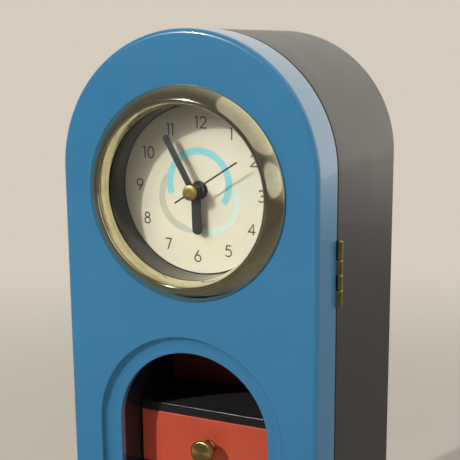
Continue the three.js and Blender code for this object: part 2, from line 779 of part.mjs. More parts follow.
// Winding between two square flanges that stand on the stator plate
function buildCoil(statorFront, end) {
  const flange = coil.radius + coil.flangeMargin;
  const depth = statorFront - flange;
  const right = end - coil.flange;
  const left = right - coil.length;
  const flangeAt = (x) => insideBox(
    x, x + coil.flange, depth - flange, statorFront, coilZ() - flange, coilZ() + flange);
  add('drive_coil', join(
    rodX(left, right, faceY + depth, clockZ + coilZ(), coil.radius),
    flangeAt(left - coil.flange), flangeAt(right)), 'copper');
}

function buildCell() {
  const y = faceY + gearFront + cell.radius + clearance;
  const z = clockZ - movementInner + cell.radius;
  const minusX = -movementInner + contactThickness;
  const plusX = minusX + cell.length;
  const nubEnd = plusX + cell.nubLength;
  add('battery_cell', join(
    rodX(minusX, plusX, y, z, cell.radius),
    rodX(plusX, nubEnd, y, z, cell.nubRadius, 8)), 'blackPlastic');
  const strip = cell.radius - contactInset;
  add('contact_plus', block(nubEnd, movementInner, y - strip, y + strip, z - strip, z + strip), 'steel');
  add('contact_minus', block(-movementInner, minusX, y - strip, y + strip, z - strip, z + strip), 'steel');
}

add('case_shell', buildCase(), 'greyLacquer');
add('base_felt', block(
  -halfWidth, halfWidth, caseFrontY, rearY, 0, feltThickness), 'felt');
buildRear();
buildDrawers();
buildCatch();
add('door_panel', buildDoor(), 'blueLacquer');
add('window_liner', buildLiner(), 'blackPaint');
buildHinges();
buildInsert();
buildHands();
buildMovement();
buildWheels();
buildCell();

export default clock;
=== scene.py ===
# Clock diversion safe: an arch-topped clock case whose door hides drawers and a closed compartment.
# The sections follow the order in which the real object is put together. The studio is laid out in
# metres; pieces are drawn in millimetres, and scaled to metres when their mesh is finished.
import math

import bmesh
import bpy
from mathutils import Matrix, Vector


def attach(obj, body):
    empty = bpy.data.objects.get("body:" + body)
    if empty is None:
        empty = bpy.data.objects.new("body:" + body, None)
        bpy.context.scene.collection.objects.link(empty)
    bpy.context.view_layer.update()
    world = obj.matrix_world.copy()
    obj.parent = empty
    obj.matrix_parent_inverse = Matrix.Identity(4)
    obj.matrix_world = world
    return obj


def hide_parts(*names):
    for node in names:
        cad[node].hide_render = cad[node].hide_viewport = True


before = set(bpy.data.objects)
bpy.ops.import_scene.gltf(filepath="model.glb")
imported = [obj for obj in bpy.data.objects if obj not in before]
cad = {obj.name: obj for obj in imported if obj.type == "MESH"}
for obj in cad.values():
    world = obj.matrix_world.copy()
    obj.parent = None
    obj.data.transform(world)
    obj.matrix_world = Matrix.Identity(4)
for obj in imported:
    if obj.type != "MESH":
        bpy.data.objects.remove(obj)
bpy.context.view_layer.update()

# ------------------------------
# Studio. A pale floor that fades into a plain pale background, one small lamp high on the left of
# the door, four weak soft ones on its right, and a world whose light is brighter from behind.
background = (0.665, 0.604, 0.515)
floor_colour = (0.60, 0.57, 0.52)
camera_place = (0.1947, -0.4312, 0.3362)
camera_yaw, camera_pitch, camera_roll = 0.4332, 0.1922, -0.0083


def camera_matrix():
    yaw, pitch, roll = camera_yaw, camera_pitch, camera_roll
    forward = Vector((-math.sin(yaw) * math.cos(pitch), math.cos(yaw) * math.cos(pitch), -math.sin(pitch)))
    level = Vector((math.cos(yaw), math.sin(yaw), 0))
    upright = level.cross(forward)
    right = level * math.cos(roll) + upright * math.sin(roll)
    up = upright * math.cos(roll) - level * math.sin(roll)
    turn = Matrix((right, up, -forward)).transposed()
    return Matrix.Translation(camera_place) @ turn.to_4x4()


camera_data = bpy.data.cameras.new("camera")
camera_data.lens = 74.1
camera_data.sensor_width = 36
camera = bpy.data.objects.new("camera", camera_data)
camera.matrix_world = camera_matrix()
bpy.context.scene.collection.objects.link(camera)
bpy.context.scene.camera = camera
bpy.context.scene.view_settings.view_transform = "Standard"


def lamp(name, place, target, size, power, colour):
    data = bpy.data.lights.new(name, "AREA")
    data.shape = "DISK"
    data.size = size
    data.energy = power
    data.color = colour
    light = bpy.data.objects.new(name, data)
    direction = Vector(target) - Vector(place)
    light.matrix_world = Matrix.Translation(place) @ direction.to_track_quat("-Z", "Y").to_matrix().to_4x4()
    bpy.context.scene.collection.objects.link(light)


lamp("key_lamp", (-0.78, -1.62, 1.20), (0, 0, 0.22), 0.05, 27, (1.0, 0.97, 0.93))
lamp("right_lamp", (1.60, 0.75, 0.80), (0, 0, 0.20), 1.2, 4, (1.0, 0.97, 0.93))
lamp("front_lamp", (0.60, -1.75, 0.60), (0, 0, 0.15), 0.8, 0.15, (0.90, 0.96, 1.0))
lamp("top_lamp", (0.70, -0.45, 1.40), (0, 0, 0.27), 1.5, 2.2, (1.0, 0.97, 0.90))
lamp("side_lamp", (1.15, -0.72, 0.44), (0, 0, 0.27), 0.62, 0.5, (0.93, 0.98, 1.0))


class Tree:
    """A node tree, built node by node."""

    def __init__(self, tree):
        self.tree = tree

    def node(self, kind, inputs, output=0, **settings):
        """An output of a new node with these settings. Its inputs take values, or sockets to be linked."""
        node = self.tree.nodes.new(kind)
        for key, value in settings.items():
            setattr(node, key, value)
        for key, value in inputs.items():
            if isinstance(value, bpy.types.NodeSocket):
                self.tree.links.new(value, node.inputs[key])
            else:
                node.inputs[key].default_value = value
        return node.outputs[output] if node.outputs else None

    def remap(self, value, low, high, to_low=0.0, to_high=1.0, curve="LINEAR"):
        return self.node("ShaderNodeMapRange", {
            "Value": value, "From Min": low, "From Max": high, "To Min": to_low, "To Max": to_high},
                         interpolation_type=curve)

    def maths(self, operation, a, b):
        return self.node("ShaderNodeMath", {0: a, 1: b}, operation=operation)

    def mix(self, share, a, b):
        return self.node("ShaderNodeMix", {0: share, 6: a, 7: b}, output=2, data_type="RGBA")

    def choice(self, share, a, b):
        """Shader b in this share, and shader a for the rest."""
        return self.node("ShaderNodeMixShader", {0: share, 1: a, 2: b})


def world_light():
    """Seen directly the world is the background; as light it is brighter from behind and the right."""
    world = bpy.data.worlds.new("studio")
    bpy.context.scene.world = world
    world.use_nodes = True
    world.node_tree.nodes.clear()
    tree = Tree(world.node_tree)
    way = tree.node("ShaderNodeTexCoord", {}, "Generated")
    bright_side = tree.node("ShaderNodeVectorMath", {0: way, 1: (0.17, 0.40, 0.10)}, "Value",
                            operation="DOT_PRODUCT")
    brightness = tree.node("ShaderNodeValToRGB", {"Fac": tree.maths("ADD", bright_side, 0.5)})
    ramp = brightness.node.color_ramp
    ramp.interpolation = "EASE"
    stops = [(0.0, (0.07, 0.07, 0.07)), (0.42, (0.09, 0.09, 0.09)), (0.66, (0.52, 0.49, 0.44)),
             (1.0, (1.0, 0.94, 0.84))]
    while len(ramp.elements) < len(stops):
        ramp.elements.new(0.5)
    for element, (place, colour) in zip(ramp.elements, stops):
        element.position = place
        element.color = (*colour, 1)
    light = tree.node("ShaderNodeBackground", {"Color": brightness, "Strength": 1.2})
    seen = tree.node("ShaderNodeBackground", {"Color": (*background, 1)})
    path = tree.node("ShaderNodeLightPath", {}).node.outputs
    straight = tree.maths("MAXIMUM", path["Is Camera Ray"], path["Is Transmission Ray"])
    tree.node("ShaderNodeOutputWorld", {"Surface": tree.choice(straight, light, seen)})


world_light()


class Finish(Tree):
    """One procedural material: a Principled shader and the patterns on Object coordinates that feed it."""

    def __init__(self, name, colour, roughness, more=None):
        self.material = bpy.data.materials.new(name)
        self.material.use_nodes = True
        super().__init__(self.material.node_tree)
        self.shader = self.tree.nodes["Principled BSDF"]
        self.where = self.node("ShaderNodeTexCoord", {}, "Object")
        for socket, value in {"Base Color": colour, "Roughness": roughness, **(more or {})}.items():
            self.shader.inputs[socket].default_value = value
        self.material.diffuse_color = colour

    def placed(self, stretch, centre=(0, 0, 0)):
        """Coordinates stretched about a centre."""
        return self.node("ShaderNodeMapping", {
            "Vector": self.where, "Location": [-c * s for c, s in zip(centre, stretch)], "Scale": stretch})

    def noise(self, scale, detail=2.0, roughness=0.5, at=None, distortion=0.0):
        return self.node("ShaderNodeTexNoise", {
            "Vector": at or self.where, "Scale": scale, "Detail": detail, "Roughness": roughness,
            "Distortion": distortion})

    def cells(self, scale):
        return self.node("ShaderNodeTexVoronoi", {"Vector": self.where, "Scale": scale})

    def blend(self, pattern, a, b, low=0.3, high=0.7, most=1.0):
        """Colour b over colour a where the pattern is high, up to this share."""
        return self.mix(self.remap(pattern, low, high, 0.0, most), a, b)

    def relief(self, height, depth, strength, over=None):
        """Bumps of this depth in millimetres; over is an earlier relief that they lie on."""
        inputs = {"Height": height, "Distance": depth / 1000, "Strength": strength}
        if over is not None:
            inputs["Normal"] = over
        return self.node("ShaderNodeBump", inputs)

    def driven(self, colour=None, roughness=None, normal=None):
        """The material, once patterns drive these inputs of its shader."""
        for socket, source in (("Base Color", colour), ("Roughness", roughness), ("Normal", normal)):
            if source is not None:
                self.tree.links.new(source, self.shader.inputs[socket])
        return self.material

    def shade(self, shader):
        """Makes this shader the surface."""
        self.tree.links.new(shader, self.tree.nodes["Material Output"].inputs["Surface"])


def ring(u, v, radius, sides):
    """Points on a circle, from the side of its first axis towards that of its second."""
    turns = [2 * math.pi * i / sides for i in range(sides)]
    return [(u + radius * math.cos(turn), v + radius * math.sin(turn)) for turn in turns]


def floor_paper():
    """The floor's paper, which turns into the background far away.

    Polished surfaces see it dimmed, more so in front of the object, and only out to about 2 m."""
    finish = Finish("studio_floor", (0.8, 0.8, 0.8, 1), 0.9)
    path = finish.node("ShaderNodeLightPath", {}).node.outputs
    polished, camera_ray = path["Is Glossy Ray"], path["Is Camera Ray"]
    dimmed = {share: (*(c * share for c in floor_colour), 1) for share in (1, 0.97, 0.42, 0.14)}
    grain = finish.node("ShaderNodeTexNoise", {"Vector": finish.where, "Scale": 60})
    depth = finish.node("ShaderNodeSeparateXYZ", {0: finish.where}, "Y")
    reflected = finish.mix(finish.remap(depth, -0.30, 0.05), dimmed[0.14], dimmed[0.42])
    distance = finish.node("ShaderNodeVectorMath", {0: finish.where}, "Value", operation="LENGTH")
    faded = finish.maths("MULTIPLY", finish.remap(distance, 0.3, 1.0, curve="SMOOTHSTEP"), camera_ray)
    glow = finish.node("ShaderNodeEmission", {"Color": (*background, 1)})
    seen = finish.choice(faded, finish.shader.outputs[0], glow)
    ended = finish.maths("MULTIPLY", finish.remap(distance, 1.1, 2.6, curve="SMOOTHSTEP"), polished)
    finish.shade(finish.choice(ended, seen, finish.node("ShaderNodeBsdfTransparent", {})))
    return finish.driven(finish.mix(polished, finish.mix(grain, dimmed[1], dimmed[0.97]), reflected))


def studio_floor():
    """A disc under the base that takes the object's shadow."""
    mesh = bpy.data.meshes.new("studio_floor")
    radius, sides = 6.0, 96
    mesh.from_pydata([(x, y, 0) for x, y in ring(0, 0, radius, sides)], [], [tuple(range(sides))])
    floor = bpy.data.objects.new("studio_floor", mesh)
    bpy.context.scene.collection.objects.link(floor)
    mesh.materials.append(floor_paper())


studio_floor()

# ------------------------------
# Case. Walls, floor and arch of board, glued into one shell and sprayed with grey satin lacquer
# outside and black paint inside. Grooves inside carry the boards; a step carries the false back.


def tint(red, green, blue):
    """A colour given as it looks on a screen, 0 to 255, in the linear values that shaders use."""
    def linear(c):
        c /= 255
        return c / 12.92 if c <= 0.04045 else ((c + 0.055) / 1.055) ** 2.4
    return (linear(red), linear(green), linear(blue), 1)


def lacquer(name, colour, dark, light, roughness, coat):
    """Sprayed satin lacquer: faint clouds of tone, orange peel, tiny dust nibs and hand marks."""
    finish = Finish(name, colour, roughness, {"Coat Weight": coat, "Coat Roughness": 0.12})
    base = finish.blend(finish.noise(9, 3, 0.55), dark, light)
    base = finish.blend(finish.noise(160, 3, 0.6), base, dark, 0.4, 0.75, 0.2)
    nibs = finish.remap(finish.cells(150), 0.055, 0.04)
    specks = finish.maths("MULTIPLY", nibs, finish.remap(finish.noise(45, 1), 0.60, 0.64))
    base = finish.mix(finish.maths("MULTIPLY", specks, 0.3), base, (0.5, 0.5, 0.5, 1))
    marks = finish.remap(finish.noise(22, 3, 0.55, distortion=0.5), 0.25, 0.75,
                         roughness - 0.02, roughness + 0.04)
    peel = 0.016
    skin = finish.relief(finish.noise(620), peel, 0.4)
    skin = finish.relief(finish.noise(70, 1), peel, 0.2, skin)
    return finish.driven(base, marks, finish.relief(specks, 0.03, 0.5, skin))


grey_lacquer = lacquer("grey_lacquer", tint(47, 48, 49), tint(44, 45, 46), tint(50, 51, 52), 0.34, 0.0)


def dark_paint(name, colour, dark, light, roughness):
    """Brushed semi-gloss paint over fine wood grain, with specks, and a lighter film on upper faces that is
    partly dust and partly painted light for tops in shade.
    """
    finish = Finish(name, colour, roughness)
    facing = finish.node("ShaderNodeTexCoord", {}, "Normal")
    height = finish.node("ShaderNodeSeparateXYZ", {0: facing}, "Z")
    # Upper faces turn lighter grey: partly dust, partly painted light that lifts tops lying in shade.
    dust_and_painted_light = finish.maths("MULTIPLY", finish.remap(height, 0.7, 0.95),
                        finish.remap(finish.noise(90, 4, 0.65), 0.2, 0.8, 0.55, 0.95))
    dust = finish.maths("MULTIPLY", finish.remap(finish.cells(420), 0.12, 0.07),
                        finish.remap(finish.noise(70), 0.58, 0.66))
    base = finish.mix(finish.maths("MULTIPLY", dust, 0.35), finish.blend(finish.noise(14, 3), dark, light),
                      tint(120, 116, 110))
    worn = finish.remap(finish.noise(55, 4, 0.6), 0.25, 0.75, roughness - 0.05, roughness + 0.08)
    grain = finish.relief(finish.noise(240, 4, 0.6, at=finish.placed((0.06, 1, 1))), 0.03, 0.35)
    return finish.driven(finish.mix(dust_and_painted_light, base, tint(50, 50, 51)),
                         finish.maths("ADD", worn, finish.maths("MULTIPLY", dust_and_painted_light, 0.35)),
                         finish.relief(finish.noise(500), 0.02, 0.4, grain))


black_paint = dark_paint("black_paint", tint(32, 33, 36), tint(28, 29, 32), tint(37, 38, 41), 0.20)


def arch(half, bottom, centre):
    """An arch-topped outline in X and Z: along the bottom, up the right side, over to the left."""
    steps = 96
    points = [(-half, bottom), (half, bottom)]
    for i in range(steps + 1):
        angle = math.pi * i / steps
        points.append((half * math.cos(angle), centre + half * math.sin(angle)))
    return points


def arch_loops(section, half, bottom, centre, floor_share=1.0):
    """A loop round an arch for each (offset outwards, y) of a section."""
    return [[(x, y, z) for x, z in arch(half + out, bottom - out * floor_share, centre)]
            for out, y in section]


def eased(corners, steps=4):
    """A closed section whose corners, given as (u, v, radius), are rounded off."""
    section = []
    for i, (u, v, radius) in enumerate(corners):
        corner = Vector((u, v))
        if radius == 0:
            section.append((u, v))
            continue
        before = (Vector(corners[i - 1][:2]) - corner).normalized()
        after = (Vector(corners[(i + 1) % len(corners)][:2]) - corner).normalized()
        half_angle = before.angle(after) / 2
        centre = corner + (before + after).normalized() * radius / math.sin(half_angle)
        start = corner + before * radius / math.tan(half_angle) - centre
        end = corner + after * radius / math.tan(half_angle) - centre
        sweep = start.angle(end)
        for k in range(steps + 1):
            a = math.sin((1 - k / steps) * sweep) / math.sin(sweep)
            b = math.sin(k / steps * sweep) / math.sin(sweep)
            section.append(tuple(centre + start * a + end * b))
    return section


def skin_loops(bm, loops, closed=False):
    """Rows of vertices, one for each loop of (x, y, z), joined by quads."""
    rows = [[bm.verts.new(point) for point in loop] for loop in loops]
    pairs = list(zip(rows, rows[1:]))
    if closed:
        pairs.append((rows[-1], rows[0]))
    for a, b in pairs:
        for i in range(len(a)):
            j = (i + 1) % len(a)
            bm.faces.new((a[i], a[j], b[j], b[i]))
    return rows


def capped(bm, loops):
    """Loops joined by quads, with a face at each end."""
    rows = skin_loops(bm, loops)
    bm.faces.new(rows[0])
    bm.faces.new(rows[-1])


def linked(name, bm, *finishes):
    """Links a mesh that is in metres at the origin."""
    mesh = bpy.data.meshes.new(name)
    bm.to_mesh(mesh)
    bm.free()
    for finish in finishes:
        mesh.materials.append(finish)
    piece = bpy.data.objects.new(name, mesh)
    bpy.context.scene.collection.objects.link(piece)
    return piece


def finished(name, bm, *finishes):
    """Scales a mesh drawn in millimetres, turns its faces outwards and links it."""
    bmesh.ops.scale(bm, vec=(0.001, 0.001, 0.001), verts=bm.verts)
    bmesh.ops.recalc_face_normals(bm, faces=bm.faces)
    return linked(name, bm, *finishes)


def settle(piece):
    """Makes what the modifiers give the piece's own mesh."""
    graph = bpy.context.evaluated_depsgraph_get()
    graph.update()
    mesh = bpy.data.meshes.new_from_object(piece.evaluated_get(graph))
    piece.modifiers.clear()
    old = piece.data
    piece.data = mesh
    bpy.data.meshes.remove(old)
    mesh.name = piece.name


def combine(piece, operation, tools):
    for tool in tools:
        step = piece.modifiers.new("step", "BOOLEAN")
        step.operation = operation
        step.solver = "EXACT"
        step.object = tool
    settle(piece)
    for tool in tools:
        bpy.data.objects.remove(tool)


def cut_away(piece, *tools):
    combine(piece, "DIFFERENCE", tools)


def join_on(piece, *tools):
    combine(piece, "UNION", tools)


def smooth(piece, sharp, ease=0.0, steps=2):
    """Rounds hard edges by ease millimetres where asked, and shades flats flat and curves smooth."""
    if ease:
        bevel = piece.modifiers.new("eased_edges", "BEVEL")
        bevel.width = ease / 1000
        bevel.segments = steps
        bevel.limit_method = "ANGLE"
        bevel.angle_limit = math.radians(sharp)
        bevel.use_clamp_overlap = True
        settle(piece)
    piece.data.shade_smooth()
    piece.data.set_sharp_from_angle(angle=math.radians(sharp if not ease else 50))
    weights = piece.modifiers.new("flats", "WEIGHTED_NORMAL")
    weights.keep_sharp = True
    settle(piece)


def fit(piece, node, body, slot, *smoothing):
    """Smooths a piece, which rides on a body and stands for a CAD node. Its slot is not used."""
    smooth(piece, *smoothing)
    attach(piece, body)
    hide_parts(node)


def block_tool(x0, x1, y0, y1, z0, z1):
    bm = bmesh.new()
    bmesh.ops.create_cube(bm, size=1)
    for vert in bm.verts:
        vert.co = ((x0 + x1) / 2 + vert.co.x * (x1 - x0), (y0 + y1) / 2 + vert.co.y * (y1 - y0),
                   (z0 + z1) / 2 + vert.co.z * (z1 - z0))
    return finished("block_tool", bm)


def round_tool(x, z, radius, y0, y1):
    """A round drill along Y."""
    bm = bmesh.new()
    capped(bm, [[(u, y, v) for u, v in ring(x, z, radius, 64)] for y in (y0, y1)])
    return finished("round_tool", bm)


def upright_tool(x, y, radius, z0, z1):
    """A round drill along Z."""
    bm = bmesh.new()
    capped(bm, [[(u, v, z) for u, v in ring(x, y, radius, 48)] for z in (z0, z1)])
    return finished("upright_tool", bm)


arch_centre = 280.0
half_width = 64.0
body_bottom = 1.2
case_front, case_back = -33.7, 59.4
false_back_front = 1.4
rebate_depth = 53.4
cavity_half, cavity_floor = 39.7, 25.3
wall = half_width - cavity_half
rear_step, rebate_step = 2, 8
groove_half = 41.8
play = 0.3
board_bottoms = [155.7, 123.1, 90.5, 57.9, 25.3]
board_thick = 4.6
hinge_tops = [250.2, 75.4]
hinge_length = 30.8
hinge_axis = (65.4, -34.05)
knuckle_radius = 1.4
leaf_inner = 47.0
catch_place = (-52.0, 150.2)
magnet_radius, magnet_back = 4.0, -24.2


def hinge_recess(y0, y1):
    """Tools that let one leaf of each hinge, with its knuckles, into an edge."""
    tools = []
    for top in hinge_tops:
        z0, z1 = top - hinge_length - play, top + play
        tools.append(block_tool(leaf_inner - play, half_width + 1, y0, y1, z0, z1))
        tools.append(upright_tool(*hinge_axis, knuckle_radius + play, z0, z1))
    return tools


def make_case():
    bm = bmesh.new()
    section = eased([
        (wall, case_front, 1.0), (wall, case_back, 0.7), (rebate_step, case_back, 0.3),
        (rebate_step, rebate_depth, 0), (rear_step, rebate_depth, 0.2), (rear_step, false_back_front, 0),
        (0, false_back_front, 0.2), (0, case_front, 0.4)])
    floor_share = (cavity_floor - body_bottom) / wall
    skin_loops(bm, arch_loops(section, cavity_half, cavity_floor, arch_centre, floor_share), closed=True)
    case = finished("case", bm, grey_lacquer, black_paint)
    ahead = case_front - 1
    grooves = [block_tool(-groove_half, groove_half, ahead, false_back_front, z, z + board_thick + play)
               for z in board_bottoms[:-1]]
    magnet_hole = round_tool(*catch_place, magnet_radius + play, ahead, magnet_back)
    cut_away(case, *grooves, magnet_hole, *hinge_recess(ahead, case_front + 1))
    for face in case.data.polygons:
        x, y, z = face.center * 1000
        reach = abs(x) if z < arch_centre else math.hypot(x, z - arch_centre)
        if reach < half_width - 2 and case_front + 0.6 < y < case_back - 0.6 and z > 5:
            face.material_index = 1
    fit(case, "case_shell", "case", "grey_lacquer", 28)


make_case()

# ------------------------------
# Door. One thick board with a rounded front edge, sprayed blue all over. The window is a stepped
# arch, the clock sits in a round hole above it, and the hinge leaves and strike are let in behind.
blue_lacquer = lacquer("blue_lacquer", tint(54, 129, 177), tint(50, 125, 172), tint(58, 133, 182), 0.30, 0.8)
door_front, door_back = -59.4, -34.4
edge_round = 2.4
clock_centre = 270.8
clock_hole = 44.5
window_half, window_bottom, window_centre = 38.8, 25.0, 156.2
liner_front = -52.0
strike_radius = 5


def quarter(steps):
    return [math.pi / 2 * i / steps for i in range(steps + 1)]


def fill_between(bm, rows):
    """A flat face bounded by the first row, with the other rows as holes."""
    edges = []
    for row in rows:
        for i, vert in enumerate(row):
            edges.append(bm.edges.get((vert, row[(i + 1) % len(row)])))
    bmesh.ops.triangle_fill(bm, use_beauty=True, use_dissolve=False, edges=edges)


def make_door():
    bm = bmesh.new()
    back_round = 0.7
    rim = [(-edge_round * (1 - math.sin(a)), door_front + edge_round * (1 - math.cos(a))) for a in quarter(8)]
    rim += [(-back_round * (1 - math.cos(a)), door_back - back_round * (1 - math.sin(a))) for a in quarter(4)]
    outside = skin_loops(bm, arch_loops(rim, half_width, body_bottom, arch_centre))
    reach, step_back = 8.7, door_front + 4.1
    lip, cove_width, cove_depth, edge = 0.8, 5.3, 3.3, 0.6
    section = [(reach + lip * (1 - math.sin(a)), door_front + lip * (1 - math.cos(a))) for a in quarter(5)]
    section += [(reach - cove_width * (1 - math.cos(a)), step_back - cove_depth * (1 - math.sin(a)))
                for a in quarter(10)]
    section += [(edge * (1 - math.sin(a)), step_back + edge * (1 - math.cos(a))) for a in quarter(4)]
    section += [(0, liner_front), (1 + play, liner_front), (1 + play, door_back)]
    window = skin_loops(bm, arch_loops(section, window_half, window_bottom, window_centre))
    hole = skin_loops(bm, [[(x, y, z) for x, z in ring(0, clock_centre, clock_hole, 128)]
                           for y in (door_front, door_back)])
    fill_between(bm, [outside[0], window[0], hole[0]])
    fill_between(bm, [outside[-1], window[-1], hole[-1]])
    door = finished("door", bm, blue_lacquer)
    strike_hole = round_tool(*catch_place, strike_radius + play, door_back - 1, door_back + 1)
    cut_away(door, strike_hole, *hinge_recess(door_back - 1, door_back + 1))
    fit(door, "door_panel", "door", "blue_lacquer", 28)


make_door()

# ------------------------------
# Felt. A sheet of pressed felt glued under the case, cut flush with its edges, so that the clock
# doesn't scratch the shelf. The door hangs clear of the shelf by the felt's thickness.


def softened(name, node, ease, finish, body, slot, steps=2, tools=()):
    """A copy of a CAD node with whole flat faces and eased arrises, which stands for that node."""
    bm = bmesh.new()
    bm.from_mesh(cad[node].data)
    bmesh.ops.remove_doubles(bm, verts=bm.verts, dist=1e-6)
    bmesh.ops.dissolve_limit(
        bm, angle_limit=math.radians(1), verts=bm.verts, edges=bm.edges, use_dissolve_boundaries=False)
    piece = linked(name, bm, finish)
    if tools:
        cut_away(piece, *tools)
    fit(piece, node, body, slot, 30, ease, steps)


def felt_finish():
    finish = Finish("felt", tint(46, 48, 51), 0.95, {"Sheen Weight": 0.35, "Sheen Roughness": 0.6})
    fibres = finish.noise(900, 6, 0.75, distortion=1.5)
    return finish.driven(finish.blend(fibres, tint(38, 40, 43), tint(66, 68, 72)),
                         normal=finish.relief(fibres, 0.25, 0.8))


softened("felt", "base_felt", 0.35, felt_finish(), "case", "felt")

# ------------------------------
# False back. A thin red painted board that rests against the step inside the case. It is the red
# wall behind the drawers and hides the compartment between it and the back panel.


def red_paint(name, colour, dark, light, stroke):
    """Brushed satin paint: faint brush strokes, slight change of tone, a few specks."""
    finish = Finish(name, colour, 0.42)
    strokes = finish.noise(330, 3, 0.6, at=finish.placed((1, 1, 0.05)))
    base = finish.blend(finish.noise(16, 3, 0.6), dark, light)
    worn = finish.remap(finish.noise(60, 4, 0.6), 0.25, 0.75, 0.34, 0.52)
    skin = finish.relief(strokes, 0.035, 0.5)
    return finish.driven(finish.blend(strokes, base, stroke, 0.4, 0.75, 0.3), worn,
                         finish.relief(finish.noise(700), 0.02, 0.4, skin))


# The false back's red paint is darker than the drawer fronts' red: painted shade, for the wall that stands in
# deep shade behind the drawers.
deep_red = red_paint("deep_red", tint(128, 42, 42), tint(120, 38, 38), tint(136, 48, 46), tint(110, 34, 34))


def make_false_back():
    bm = bmesh.new()
    half, bottom, back, ease = 41.4, 23.3, 5.4, 0.3
    capped(bm, arch_loops([(-ease, false_back_front), (0, false_back_front + ease), (0, back - ease),
                           (-ease, back)], half, bottom, arch_centre))
    fit(finished("false_back_board", bm, deep_red), "false_back", "case", "red_paint", 28)


make_false_back()

# ------------------------------
# Boards. Five black painted boards carry and part the drawers. All but the lowest slide into
# grooves in the case walls; their front part is narrower, to reach into the window.
for number, node in enumerate(["board_top", "board_1", "board_2", "board_3", "board_bottom"]):
    softened(f"shelf_{number + 1}", node, 0.45, black_paint, "case", "black_paint", steps=3)

# ------------------------------
# Drawers. Each has a red painted front, a black tray glued up from thin stock, and a turned brass
# knob screwed through the front. The four are alike.


def turned(bm, profile, centre, axis, sides, closed=False):
    """Turns a profile of (radius, place along the axis). UV map lathe holds turn and profile length."""
    uv = bm.loops.layers.uv.new("lathe")
    u, v = centre
    put = {"X": lambda a, b, t: (t, u + a, v + b), "Y": lambda a, b, t: (u + a, t, v + b),
           "Z": lambda a, b, t: (u + a, v + b, t)}[axis]
    rows, lengths = [], [0.0]
    for k, (radius, along) in enumerate(profile):
        if k:
            lengths.append(lengths[-1] + math.dist(profile[k - 1], profile[k]))
        if radius < 1e-4:
            rows.append([bm.verts.new(put(0, 0, along))])
        else:
            rows.append([bm.verts.new(put(a, b, along)) for a, b in ring(0, 0, radius, sides)])
    spans = [(k, k + 1) for k in range(len(rows) - 1)]
    if closed:
        spans.append((len(rows) - 1, 0))
    for p, q in spans:
        a, b = rows[p], rows[q]
        start = lengths[p]
        end = lengths[q] if q else start + math.dist(profile[p], profile[0])
        for i in range(sides):
            j = (i + 1) % sides
            if len(a) == 1:
                corners = [(a[0], i, start), (b[i], i, end), (b[j], i + 1, end)]
            elif len(b) == 1:
                corners = [(a[i], i, start), (b[0], i, end), (a[j], i + 1, start)]
            else:
                corners = [(a[i], i, start), (b[i], i, end), (b[j], i + 1, end), (a[j], i + 1, start)]
            face = bm.faces.new([corner[0] for corner in corners])
            for loop, (_, turn, length) in zip(face.loops, corners):
                loop[uv].uv = (turn / sides, length)


def turned_piece(name, node, profile, centre, finish, body, slot, axis="Y", sides=64, closed=False, sharp=35,
                 base=0):
    """A turned piece that stands for a CAD node; its profile counts along the axis from base."""
    bm = bmesh.new()
    turned(bm, [(radius, base + along) for radius, along in profile], centre, axis, sides, closed)
    fit(finished(name, bm, finish), node, body, slot, sharp)


def brass(name, colour, dark, light, roughness, groove, tarnish, faced=0.0):
    """Turned or rolled brass: fine grooves round the turn, dulled patches and finger marks."""
    finish = Finish(name, colour, roughness, {"Metallic": 1.0, "Anisotropic": faced})
    if faced:
        along_turn = finish.node("ShaderNodeTangent", {}, direction_type="UV_MAP", uv_map="lathe")
        finish.tree.links.new(along_turn, finish.shader.inputs["Tangent"])
    lathe = finish.node("ShaderNodeUVMap", {}, uv_map="lathe")
    along = finish.node("ShaderNodeMapping", {"Vector": lathe, "Scale": (0.6, 26, 1)})
    grooves = finish.node("ShaderNodeTexNoise", {"Vector": along, "Scale": 1.0, "Detail": 4, "Roughness": 0.7})
    dull = finish.noise(130, 4, 0.65, distortion=0.6)
    base = finish.blend(dull, light, colour, 0.35, 0.75)
    skin = finish.relief(grooves, groove, 0.7)
    return finish.driven(finish.blend(finish.noise(380, 3, 0.6), base, dark, 0.5, 0.75, tarnish),
                         finish.remap(dull, 0.3, 0.75, roughness, roughness * 1.5 + 0.02),
                         finish.relief(finish.noise(900), 0.006, 0.5, skin))


turned_brass = brass("turned_brass", tint(196, 164, 98), tint(104, 78, 42), tint(212, 184, 120), 0.26, 0.012,
                     0.5, 0.7)
warm_red = red_paint("warm_red", tint(207, 82, 56), tint(200, 76, 50), tint(214, 88, 62), tint(188, 68, 46))


def make_drawers():
    front, knob_drop = -36.4, 14
    knob = [(0, 9.52), (3.0, 9.6), (5.0, 9.6), (5.35, 9.55), (5.85, 9.15), (6, 8.9), (6, 7.7), (5.9, 7.35),
            (5.0, 6.5), (4.2, 6.15), (3.0, 5.9), (2.6, 5.75), (2.2, 5.4), (2.0, 4.9), (2.0, 3.8), (1.75, 3.45),
            (1.55, 3.3), (1.75, 3.12), (2.0, 3.0), (2.25, 2.2), (2.7, 1.5), (3.2, 1.0), (3.5, 0.7),
            (3.6, 0.35), (3.6, 0), (0, 0)]
    for number in range(1, 5):
        body = f"drawer_{number}"
        softened(f"front_board_{number}", f"drawer_{number}_front", 0.5, warm_red, body, "red_paint", steps=3)
        softened(f"tray_{number}", f"drawer_{number}_tray", 0.4, black_paint, body, "black_paint")
        turned_piece(f"pull_{number}", f"drawer_{number}_knob", [(radius, -out) for radius, out in knob],
                     (0, board_bottoms[number - 1] - knob_drop), turned_brass, body, "knob_brass", base=front)


make_drawers()

# ------------------------------
# Catch. A round magnet pressed into the case's front edge and a steel strike disc in the door hold
# the door shut.


def steel_finish():
    colour = tint(168, 170, 173)
    finish = Finish("plain_steel", colour, 0.28, {"Metallic": 1.0})
    brushed = finish.noise(900, 3, 0.7, at=finish.placed((0.05, 1, 1)))
    return finish.driven(finish.blend(finish.noise(150, 3), tint(150, 152, 156), colour),
                         finish.remap(brushed, 0.3, 0.7, 0.22, 0.40), finish.relief(brushed, 0.01, 0.5))


